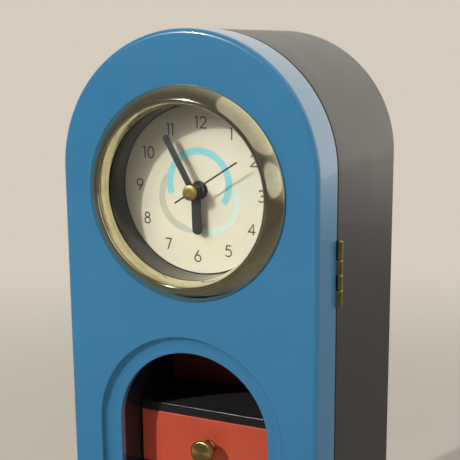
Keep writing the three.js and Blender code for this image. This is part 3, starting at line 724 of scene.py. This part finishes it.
plain_steel = steel_finish()
turned_piece("door_magnet", "catch_magnet",
             [(0, -34.2), (3.6, -34.2), (3.9, -34.1), (magnet_radius, -33.8), (magnet_radius, magnet_back),
              (0, magnet_back)],
             catch_place, plain_steel, "case", "steel")
turned_piece("strike_disc", "catch_strike",
             [(0, -35.4), (strike_radius, -35.4), (strike_radius, -34.6), (4.8, door_back), (0, door_back)],
             catch_place, plain_steel, "door", "steel")

# ------------------------------
# Window liner. A thin black painted strip bent round the inside of the window, glued in from
# behind so that the opening's edge reads black.


def make_liner():
    bm = bmesh.new()
    section = eased([(0, liner_front, 0.25), (1, liner_front, 0.25), (1, door_back, 0.1),
                     (0, door_back, 0.25)], 3)
    skin_loops(bm, arch_loops(section, window_half, window_bottom, window_centre), closed=True)
    fit(finished("liner", bm, black_paint), "window_liner", "door", "black_paint", 30)


make_liner()

# ------------------------------
# Hinges. Two small butt hinges of rolled brass: a leaf let into the case, a leaf let into the
# door, four knuckles and a pin with a domed end. Three countersunk screws hold each leaf.
aged_brass = brass("aged_brass", tint(172, 146, 96), tint(96, 78, 48), tint(204, 180, 128), 0.15, 0.012, 0.35)
knuckle_lengths = [8.8, 6.9, 7.0, 8.1]
knuckle_play = 0.12
leaf_root, leaf_thick = 63.7, 1
leaf_screw_radius, leaf_screw_depth = 1.9, 0.8


def geometry_tree(name, inputs):
    """A Geometry Nodes tree from points and these inputs, {label: type}, to a mesh, with its given sockets."""
    tree = bpy.data.node_groups.new(name, "GeometryNodeTree")
    for label, sort in {"Points": "Geometry", **inputs}.items():
        tree.interface.new_socket(label, in_out="INPUT", socket_type=f"NodeSocket{sort}")
    tree.interface.new_socket("Mesh", in_out="OUTPUT", socket_type="NodeSocketGeometry")
    return Tree(tree), tree.nodes.new("NodeGroupInput").outputs


def screw_tree():
    """Countersunk heads, slotted or cross-slotted, on the points of a mesh, each turned by chance; the slots
    are painted dark as painted shade.
    """
    tree, given = geometry_tree("screw_heads", {
        "Head Radius": "Float", "Head Depth": "Float", "Slot Width": "Float", "Slot Length": "Float",
        "Slot Depth": "Float", "Cross Slot": "Bool", "Facing": "Vector", "Seed": "Int", "Finish": "Material",
        "Slot Shade Finish": "Material"})
    width, length = given["Slot Width"], given["Slot Length"]
    cone = tree.node("GeometryNodeMeshCone", {
        "Vertices": 40, "Radius Top": given["Head Radius"],
        "Radius Bottom": tree.maths("MULTIPLY", given["Head Radius"], 0.45), "Depth": given["Head Depth"]})
    down = tree.node("ShaderNodeCombineXYZ", {"Z": tree.maths("MULTIPLY", given["Head Depth"], -1.0)})
    sunk = tree.node("GeometryNodeTransform", {"Geometry": cone, "Translation": down})
    head = tree.node("GeometryNodeSetMaterial", {"Geometry": sunk, "Material": given["Finish"]})
    depth = tree.maths("MULTIPLY", given["Slot Depth"], 2.0)
    cuts = []
    for x, y in ((length, width), (width, length)):
        bar = tree.node("GeometryNodeMeshCube", {
            "Size": tree.node("ShaderNodeCombineXYZ", {"X": x, "Y": y, "Z": depth})})
        # The slot's faces take a near-black finish: painted shade in the slots.
        shade_bar = tree.node("GeometryNodeSetMaterial", {"Geometry": bar, "Material": given["Slot Shade Finish"]})
        cuts.append(tree.node("GeometryNodeMeshBoolean", {
            "Mesh 1": cuts[-1] if cuts else head, "Mesh 2": shade_bar}, operation="DIFFERENCE", solver="EXACT"))
    cut = tree.node("GeometryNodeSwitch", {"Switch": given["Cross Slot"], "False": cuts[0], "True": cuts[1]},
                    input_type="GEOMETRY")
    chance = tree.node("FunctionNodeRandomValue", {3: 3.1, "Seed": given["Seed"]}, output=1, data_type="FLOAT")
    placed = tree.node("GeometryNodeInstanceOnPoints", {
        "Points": given["Points"], "Instance": cut, "Rotation": given["Facing"]})
    spun = tree.node("GeometryNodeRotateInstances", {
        "Instances": placed, "Rotation": tree.node("ShaderNodeCombineXYZ", {"Z": chance}), "Local Space": True})
    tree.node("NodeGroupOutput", {0: tree.node("GeometryNodeRealizeInstances", {"Geometry": spun})})
    return tree.tree


# A mottled near-black finish for screw slots: painted shade in the recess.
def grime_finish():
    finish = Finish("slot_grime", tint(30, 27, 23), 0.75)
    shade_mottle = finish.noise(1500, 3, 0.6)
    return finish.driven(finish.blend(shade_mottle, tint(24, 22, 19), tint(44, 40, 33), 0.35),
                         normal=finish.relief(shade_mottle, 0.03, 0.6))


screw_heads = screw_tree()
slot_grime = grime_finish()
screw_brass = brass("screw_brass", tint(178, 152, 98), tint(112, 88, 52), tint(204, 180, 126), 0.30, 0.012, 0.3)
head_play = 0.16


def countersinks(places, towards, radius, depth):
    """Conical tools that sink heads at places (x, y, z) into a surface that looks along Y towards."""
    tools = []
    for x, y, z in places:
        bm = bmesh.new()
        capped(bm, [[(u, along, v) for u, v in ring(x, z, reach, 40)] for reach, along in (
            (radius + head_play + 0.02, y + towards * 0.02), (radius * 0.45 + head_play, y - towards * depth))])
        tools.append(finished("countersink", bm))
    return tools


def grown(name, places, tree, values):
    """A mesh that a Geometry Nodes tree makes with these values on points given in millimetres."""
    mesh = bpy.data.meshes.new(name)
    mesh.from_pydata([Vector(place) / 1000 for place in places], [], [])
    piece = bpy.data.objects.new(name, mesh)
    bpy.context.scene.collection.objects.link(piece)
    modifier = piece.modifiers.new("grown", "NODES")
    modifier.node_group = tree
    for socket in tree.interface.items_tree:
        if socket.in_out == "INPUT" and socket.name in values:
            modifier[socket.identifier] = values[socket.name]
    settle(piece)
    return piece


def screws(name, places, towards, radius, depth, crossed, finish, body, seed):
    """Screw heads flush with a surface that looks along Y towards, at places in millimetres."""
    slot_width, slot_length = (0.27, 1.35) if crossed else (0.3, 2.2)
    piece = grown(name, places, screw_heads, {
        "Head Radius": radius / 1000, "Head Depth": depth / 1000, "Slot Width": radius * slot_width / 1000,
        "Slot Length": radius * slot_length / 1000, "Slot Depth": depth * 0.65 / 1000, "Cross Slot": crossed,
        "Facing": (math.radians(-90 * towards), 0, 0), "Seed": seed, "Finish": finish,
        "Slot Shade Finish": slot_grime})
    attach(piece, body)


def leaf_plate(bm, y0, y1, top, owned):
    """A leaf with a finger to the hinge axis at each knuckle that it owns."""
    bottom = top - hinge_length
    outline = [(leaf_inner, bottom), (leaf_root, bottom)]
    z = bottom
    for length, own in reversed(list(zip(knuckle_lengths, owned))):
        if own:
            low, high = z + knuckle_play, z + length - knuckle_play
            outline += [(leaf_root, low), (hinge_axis[0], low), (hinge_axis[0], high), (leaf_root, high)]
        z += length
    outline += [(leaf_root, top), (leaf_inner, top)]
    capped(bm, [[(x, y, z) for x, z in outline] for y in (y0, y1)])


def make_hinge(label, top):
    bottom, bore, ease = top - hinge_length, 0.8, 0.25
    places = [(51.5, top - 5), (57.5, top - hinge_length / 2), (51.5, bottom + 5)]
    for side, own, surface, towards, seed in (
            ("case", [True, False, True, False], case_front, -1, 5),
            ("door", [False, True, False, True], door_back, 1, 9)):
        bm = bmesh.new()
        leaf_plate(bm, *sorted((surface, surface - towards * leaf_thick)), top, own)
        leaf = finished(f"{label}_leaf_{side}", bm, aged_brass)
        knuckles = []
        z = top
        for length, mine in zip(knuckle_lengths, own):
            if mine:
                low, high = z - length + knuckle_play, z - knuckle_play
                bm = bmesh.new()
                turned(bm, [(0, high), (knuckle_radius - ease, high), (knuckle_radius, high - ease),
                            (knuckle_radius, low + ease), (knuckle_radius - ease, low), (0, low)],
                       hinge_axis, "Z", 48)
                knuckles.append(finished("knuckle", bm, aged_brass))
            z -= length
        sinks = [(x, surface, z) for x, z in places]
        cut_away(leaf, *countersinks(sinks, towards, leaf_screw_radius, leaf_screw_depth + 0.05))
        join_on(leaf, *knuckles)
        cut_away(leaf, upright_tool(*hinge_axis, bore, bottom - 1, top + 1))
        fit(leaf, f"hinge_{label}_{side}_leaf", side, "hinge_brass", 28)
        screws(f"{label}_screws_{side}", sinks, towards, leaf_screw_radius, leaf_screw_depth, False,
               screw_brass, side, seed)
    turned_piece(f"{label}_pin", f"hinge_{label}_pin",
                 [(0, top), (0.4, top - 0.05), (0.7, top - 0.35), (0.7, bottom + 0.35),
                  (0.4, bottom + 0.05), (0, bottom)], hinge_axis, aged_brass, "case", "hinge_brass", "Z", 32)


make_hinge("upper", hinge_tops[0])
make_hinge("lower", hinge_tops[1])

# ------------------------------
# Clock insert. A polished bezel pressed from thin brass sheet, a flat glass under its inner edge,
# and a dark can behind that carries the dial. The insert is pushed into the door from the front.


def curve(points, steps):
    """Points on a cubic Bezier curve."""
    a, b, c, d = (Vector(point) for point in points)
    result = []
    for k in range(steps + 1):
        t = k / steps
        result.append(tuple(a * (1 - t) ** 3 + b * 3 * t * (1 - t) ** 2 + c * 3 * t * t * (1 - t) + d * t ** 3))
    return result


polished_brass = brass("polished_brass", tint(206, 197, 160), tint(160, 148, 112), tint(222, 214, 182),
                       0.06, 0.0015, 0.10)


def make_bezel():
    outer = [(49.0, -0.25), (48.97, -0.7)]
    outer += curve([(48.8, -1.15), (47.1, -3.0), (45.2, -4.75), (43.3, -6.1)], 14)
    crest = curve([(43.15, -6.2), (42.6, -6.45), (41.8, -6.45), (41.45, -6.25)], 8)
    funnel = curve([(41.35, -6.1), (40.75, -5.2), (40.2, -3.2), (39.7, 0.75)], 12)
    inside = [(39.75, 1.0), (40.5, 1.0), (40.7, -1.6), (41.4, -4.9), (42.2, -5.6), (43, -5.1), (45, -3.3),
              (47.9, 0), (48.9, 0)]
    turned_piece("bezel", "clock_bezel", outer + crest + funnel + inside, (0, clock_centre), polished_brass,
                 "door", "bezel_brass", sides=192, closed=True, sharp=40, base=door_front)


make_bezel()


def clear_glass():
    """Clear float glass with faint smears; light passes it straight on its way to the dial."""
    finish = Finish("clear_glass", (0.97, 0.99, 0.985, 1), 0.0, {"IOR": 1.45, "Transmission Weight": 1.0})
    shadow = finish.node("ShaderNodeLightPath", {}, "Is Shadow Ray")
    through = finish.node("ShaderNodeBsdfTransparent", {"Color": (0.95, 0.97, 0.96, 1)})
    finish.shade(finish.choice(shadow, finish.shader.outputs[0], through))
    smears = finish.noise(45, 4, 0.7, distortion=1.2)
    return finish.driven(roughness=finish.remap(smears, 0.55, 0.8, 0.0, 0.03))


turned_piece("glass_disc", "clock_glass",
             [(0, 1), (40.8, 1), (41, 1.15), (41, 2.45), (40.8, 2.6), (0, 2.6)],
             (0, clock_centre), clear_glass(), "door", "glass", sides=128, base=door_front)


def can_finish():
    finish = Finish("can_lacquer", tint(30, 31, 34), 0.07)
    streaks = finish.noise(240, 3, 0.6, at=finish.placed((1, 0.1, 1), (0, 0, clock_centre / 1000)))
    return finish.driven(finish.blend(streaks, tint(26, 27, 30), tint(34, 35, 38)),
                         finish.remap(finish.noise(200, 3), 0.3, 0.7, 0.05, 0.11),
                         finish.relief(streaks, 0.004, 0.4))


turned_piece("can", "clock_can",
             [(46, -1), (46, 0), (44.2, 0), (44.2, 5.9), (44.1, 6), (42, 6), (42, 18.0), (41.8, 18.2),
              (4.4, 18.2), (4.4, 16.6), (39.7, 16.6), (39.7, 2.6), (41.3, 2.6), (41.3, -1)],
             (0, clock_centre), can_finish(), "door", "bezel_brass", sides=160, closed=True, base=door_front)

# ------------------------------
# Dial. A thin cream sheet with printed numerals in a plain light face and three plain arcs of
# colour, held on the floor of the can by the movement's boss.
dial_front = door_front + 16.0


def printed_sheet(name, base, second, roughness=0.55):
    """Matt print or paper with a fine grain."""
    finish = Finish(name, base, roughness, {"Specular IOR Level": 0.35})
    grain = finish.noise(1500, 3, 0.6)
    tone = finish.blend(finish.noise(60, 3), base, second)
    return finish.driven(finish.blend(grain, tone, tint(150, 140, 120), 0.45, 0.7, 0.12),
                         normal=finish.relief(grain, 0.01, 0.35))


turned_piece("dial_plate", "clock_dial", [(4.4, 0), (39.3, 0), (39.4, 0.1), (39.4, 0.6), (4.4, 0.6)],
             (0, clock_centre), printed_sheet("dial_sheet", tint(209, 202, 180), tint(205, 197, 174)), "door",
             "dial", sides=128, closed=True, base=dial_front)
dial_ink = printed_sheet("dial_ink", tint(46, 44, 41), tint(54, 52, 48), 0.5)


def stroke(bm, points, width, y, closed=False):
    """A raised printed line along points (x, z), mitred at its bends."""
    thick = 0.04
    flat = [Vector(point) for point in points]
    count = len(flat)
    loops = []
    for i, point in enumerate(flat):
        before = flat[i - 1] if closed or i else point
        after = flat[(i + 1) % count] if closed or i < count - 1 else point
        ways = [(b - a).normalized() for a, b in ((before, point), (point, after)) if (b - a).length > 1e-6]
        sides = [Vector((-way.y, way.x)) for way in ways]
        middle = sum(sides, Vector((0, 0))).normalized()
        reach = width / 2 / max(0.45, middle.dot(sides[0]))
        left, right = point + middle * reach, point - middle * reach
        loops.append([(left.x, y, left.y), (right.x, y, right.y), (right.x, y - thick, right.y),
                      (left.x, y - thick, left.y)])
    if closed:
        skin_loops(bm, loops, closed=True)
    else:
        capped(bm, loops)


def bow(x, z, width, height, start, end, steps=20):
    """Points on an ellipse from one angle to another."""
    turns = [math.radians(start + (end - start) * k / steps) for k in range(steps + 1)]
    return [(x + width * math.cos(turn), z + height * math.sin(turn)) for turn in turns]


def digit_strokes(digit):
    """Strokes of one digit, one unit high, as (points, closed)."""
    return {
        "0": [(bow(0, 0, 0.27, 0.47, 0, 345, 23), True)],
        "1": [([(-0.15, 0.45), (0.04, 0.45), (0.04, -0.5)], False)],
        "2": [(bow(0, 0.2, 0.26, 0.27, 165, -38) + [(-0.28, -0.45), (0.3, -0.45)], False)],
        "3": [(bow(-0.02, 0.23, 0.22, 0.23, 150, -90, 16)
               + bow(-0.02, -0.235, 0.26, 0.235, 90, -150, 18)[1:], False)],
        "4": [([(0.13, -0.5), (0.13, 0.42), (-0.3, -0.22), (0.32, -0.22)], False)],
        "5": [([(0.24, 0.45), (-0.14, 0.45), (-0.2, 0.08)]
               + bow(-0.02, -0.16, 0.29, 0.30, 118, -142, 20), False)],
        "6": [(bow(0, -0.19, 0.28, 0.28, 0, 345, 23), True), ([(-0.24, -0.05), (0.1, 0.5)], False)],
        "7": [([(-0.27, 0.45), (0.28, 0.45), (-0.08, -0.5)], False)],
        "8": [(bow(0, 0.245, 0.2, 0.21, 0, 345, 23), True), (bow(0, -0.225, 0.26, 0.24, 0, 345, 23), True)],
        "9": [(bow(0, 0.19, 0.28, 0.28, 0, 345, 23), True), ([(0.24, 0.05), (-0.1, -0.5)], False)],
    }[digit]


def make_numerals():
    radius, height, width, lean = 31.3, 5.6, 0.66, 2.0
    bm = bmesh.new()
    for hour in range(1, 13):
        angle = math.radians(90 - 30 * hour - lean)
        x0, z0 = radius * math.cos(angle), clock_centre + radius * math.sin(angle)
        digits = str(hour)
        offsets = {1: [0.0], 2: [-0.33, 0.27]}[len(digits)]
        if digits == "11":
            offsets = [-0.16, 0.24]
        for digit, offset in zip(digits, offsets):
            for points, closed in digit_strokes(digit):
                placed = [(x0 + (u + offset) * height, z0 + v * height) for u, v in points]
                stroke(bm, placed, width, dial_front, closed)
    numerals = finished("dial_numerals", bm, dial_ink)
    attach(numerals, "door")


make_numerals()


def make_arcs():
    """Plain arcs of colour in the middle of the dial."""
    radius, width = 15.2, 3.3
    for name, colour, (x, z), start, end, lift in (
            ("arc_grey", tint(176, 171, 153), (-4.2, -3.6), 140, 300, 0.00),
            ("arc_pale", tint(190, 206, 193), (4.2, -4.2), -130, 25, 0.02),
            ("arc_teal", tint(122, 188, 194), (0.0, 3.0), -35, 200, 0.04)):
        bm = bmesh.new()
        stroke(bm, bow(x, clock_centre + z, radius, radius, start, end, 64), width, dial_front - lift)
        lighter = tuple(min(1, c * 1.05) for c in colour[:3]) + (1,)
        arc = finished(name, bm, printed_sheet(name, colour, lighter))
        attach(arc, "door")


make_arcs()

# ------------------------------
# Hands. Stamped from thin sheet and sprayed matt charcoal; the hour and minute hands are pressed
# on the movement's pipes, the second hand on its arbor under a small turned brass cap.


def hand_finish():
    finish = Finish("hand_enamel", tint(33, 35, 35), 0.5, {"Specular IOR Level": 0.3})
    grain = finish.noise(1400, 3, 0.6)
    return finish.driven(finish.blend(grain, tint(29, 31, 31), tint(39, 41, 40), 0.35),
                         finish.remap(finish.noise(300, 3), 0.3, 0.7, 0.42, 0.56),
                         finish.relief(grain, 0.012, 0.5))


hand_enamel = hand_finish()


def hand(name, node, body, angle, root_width, tip_width, length, tail, front, thick, hub, hub_depth, hole):
    """A flat hand with round ends, and a boss behind it round its hole."""
    outline = bow(0, length - tip_width / 2, tip_width / 2, tip_width / 2, 0, 180, 16)
    outline += bow(0, -tail + root_width / 2, root_width / 2, root_width / 2, 180, 360, 16)
    turn = math.radians(angle)
    sine, cosine = math.sin(turn), math.cos(turn)
    placed = [(u * cosine + v * sine, clock_centre - u * sine + v * cosine) for u, v in outline]
    bm = bmesh.new()
    face = door_front + front
    back = face + thick
    boss = back - hub_depth
    capped(bm, [[(x, y, z) for x, z in placed] for y in (face, back)])
    turned(bm, [(hole, boss), (hub - 0.2, boss), (hub, boss + 0.2), (hub, back), (hole, back)],
           (0, clock_centre), "Y", 64, closed=True)
    fit(finished(name, bm, hand_enamel), node, body, "black_plastic", 50, 0.1)


hand("hour_pointer", "hour_hand", "hour_train", angle=178.2, root_width=4.7, tip_width=5.0, length=20.4,
     tail=2.4, front=12.2, thick=0.6, hub=3.7, hub_depth=1.2, hole=1.7)
hand("minute_pointer", "minute_hand", "minute_train", angle=331.2, root_width=2.9, tip_width=3.2, length=29.2,
     tail=1.5, front=9.3, thick=0.6, hub=3.7, hub_depth=1.0, hole=0.8)
hand("second_pointer", "second_hand", "second_train", angle=57.3, root_width=0.8, tip_width=0.8, length=27.5,
     tail=9.9, front=7.1, thick=0.5, hub=1.85, hub_depth=0.5, hole=0.05)
cap_brass = brass("cap_brass", tint(150, 127, 74), tint(106, 87, 46), tint(180, 156, 98), 0.26, 0.004, 0.2)
turned_piece("pointer_cap", "hand_cap",
             [(0, 5.78), (1.0, 5.78), (1.15, 5.96), (1.45, 5.96), (1.6, 5.78), (3.15, 5.8), (3.42, 5.94),
              (3.5, 6.15), (3.5, 6.9), (3.35, 7.1), (0, 7.1)],
             (0, clock_centre), cap_brass, "second_train", "bezel_brass", base=door_front)

# ------------------------------
# Movement. A black moulded box behind the can with a snap-in cover, a bay for one cell between
# two contact springs, and a knob behind for setting the hands. Its works are inside.


def moulded(name, colour, dark, roughness, grain_depth=0.02):
    """Moulded plastic with a fine spark-eroded grain."""
    finish = Finish(name, colour, roughness)
    return finish.driven(finish.blend(finish.noise(90, 3), dark, colour),
                         finish.remap(finish.noise(150, 3), 0.3, 0.7, roughness - 0.06, roughness + 0.1),
                         finish.relief(finish.noise(2200), grain_depth, 0.6))


black_plastic = moulded("black_plastic", tint(36, 36, 38), tint(29, 29, 31), 0.5)
white_plastic = moulded("white_plastic", tint(222, 219, 210), tint(214, 210, 199), 0.38, 0.008)
green_board = moulded("green_board", tint(46, 108, 70), tint(38, 92, 58), 0.42, 0.01)
softened("movement_box", "movement_housing", 0.35, black_plastic, "door", "black_plastic")
softened("movement_lid", "movement_cover", 0.3, black_plastic, "door", "black_plastic")


def dress(finish, *names):
    """Gives CAD nodes whose shape is right this finish."""
    for name in names:
        cad[name].data.materials.clear()
        cad[name].data.materials.append(finish)


dress(white_plastic, "hour_wheel", "minute_wheel", "second_wheel", "motion_wheel", "third_wheel",
      "intermediate_wheel")
dress(plain_steel, "rotor", "stator_plate", "hatch_magnet")
dress(green_board, "circuit_board")
softened("spring_plus", "contact_plus", 0.25, plain_steel, "door", "steel")
softened("spring_minus", "contact_minus", 0.25, plain_steel, "door", "steel")


def winding_finish():
    """Enamelled copper wire wound in close turns along X."""
    finish = Finish("copper_wire", tint(186, 108, 62), 0.3, {"Metallic": 1.0})
    turns = finish.node("ShaderNodeTexWave", {"Vector": finish.where, "Scale": 1600.0, "Distortion": 0.4},
                        output=1, bands_direction="X")
    # The copper is painted darker in the grooves between turns and lighter on their crowns: painted shade and
    # painted highlight.
    return finish.driven(finish.mix(turns, tint(120, 62, 34), tint(196, 116, 70)),
                         normal=finish.relief(turns, 0.05, 0.8))


dress(winding_finish(), "drive_coil")


def sleeve_finish():
    """The cell's printed sleeve: dark with a gold band at one end."""
    finish = Finish("cell_sleeve", tint(34, 36, 40), 0.28, {"Coat Weight": 0.3})
    x = finish.node("ShaderNodeSeparateXYZ", {0: finish.where})
    grime = finish.noise(200, 3)
    dark = finish.blend(grime, tint(32, 34, 38), tint(37, 39, 43))
    return finish.driven(finish.blend(x, dark, tint(186, 146, 74), 0.0100, 0.0104),
                         finish.remap(grime, 0.3, 0.7, 0.22, 0.36))


def make_cell():
    radius, minus, plus, nub_end = 7.0, -25.25, 23.75, 25.25
    bay_front, bay_drop = 19.7, 26.5
    depth, height = door_front + bay_front + radius + play, clock_centre - bay_drop + radius
    profile = [(0, minus), (5.4, minus), (5.6, minus + 0.25), (6.5, minus + 0.25), (6.9, minus + 0.45),
               (radius, minus + 0.9), (radius, plus - 0.9), (6.8, plus - 0.35), (6.2, plus - 0.1),
               (5.0, plus - 0.1), (4.9, plus - 0.3), (2.9, plus - 0.3), (2.5, plus), (2.5, nub_end - 0.2),
               (2.3, nub_end), (0, nub_end)]
    turned_piece("cell", "battery_cell", profile, (depth, height), sleeve_finish(), "door", "cell_wrap", "X")


make_cell()


def rib_tree():
    """Ribs round a knob: bars set on a circle about the Y axis."""
    tree, given = geometry_tree("rim_ribs", {
        "Count": "Int", "Rim Radius": "Float", "Rib Size": "Vector", "Finish": "Material"})
    rim = tree.node("GeometryNodeCurvePrimitiveCircle", {"Radius": given["Rim Radius"]})
    spots = tree.node("GeometryNodeCurveToPoints", {"Curve": rim, "Count": given["Count"]})
    bars = tree.node("GeometryNodeInstanceOnPoints", {
        "Points": spots, "Instance": tree.node("GeometryNodeMeshCube", {"Size": given["Rib Size"]}),
        "Rotation": spots.node.outputs["Rotation"]})
    upright = tree.node("GeometryNodeTransform", {"Geometry": bars, "Rotation": (math.pi / 2, 0, 0)})
    placed = tree.node("GeometryNodeInstanceOnPoints", {"Points": given["Points"], "Instance": upright})
    real = tree.node("GeometryNodeRealizeInstances", {"Geometry": placed})
    tree.node("NodeGroupOutput", {
        0: tree.node("GeometryNodeSetMaterial", {"Geometry": real, "Material": given["Finish"]})})
    return tree.tree


def make_set_knob():
    x, z = 7.188, clock_centre + 5.416
    near, far = door_front + 34.5, door_front + 37.5
    turned_piece("hand_setter", "set_knob",
                 [(0, near), (4.5, near), (4.7, near + 0.2), (4.7, far - 0.4), (4.3, far), (3.4, far),
                  (3.2, far - 0.5), (0, far - 0.5)],
                 (x, z), black_plastic, "setting_train", "black_plastic")
    ribs = grown("setter_ribs", [(x, (near + far) / 2, z)], rib_tree(), {
        "Count": 30, "Rim Radius": 0.00472, "Rib Size": (0.0005, 0.0022, 0.0005), "Finish": black_plastic})
    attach(ribs, "setting_train")


make_set_knob()

# ------------------------------
# Back. A thin grey board screwed into the rebate, with a hatch that turns on two steel pins at its
# left edge, a finger notch and a small magnet that holds the hatch shut.


def make_back():
    screw_radius, screw_depth, screw_ring = 2.6, 1.4, 42.5
    places = [(x, case_back, z) for x in (-43.5, 43.5) for z in (30, 110, 190, 268)]
    for angle in (50, 130):
        turn = math.radians(angle)
        places.append((screw_ring * math.cos(turn), case_back, arch_centre + screw_ring * math.sin(turn)))
    softened("back_board", "back_panel", 0.4, grey_lacquer, "case", "grey_lacquer",
             tools=countersinks(places, 1, screw_radius, screw_depth + 0.1))
    softened("hatch_board", "hatch_panel", 0.4, grey_lacquer, "hatch", "grey_lacquer")
    screws("back_screws", places, 1, screw_radius, screw_depth, True, plain_steel, "case", seed=11)
    dress(plain_steel, "hatch_pin_1", "hatch_pin_2")


make_back()
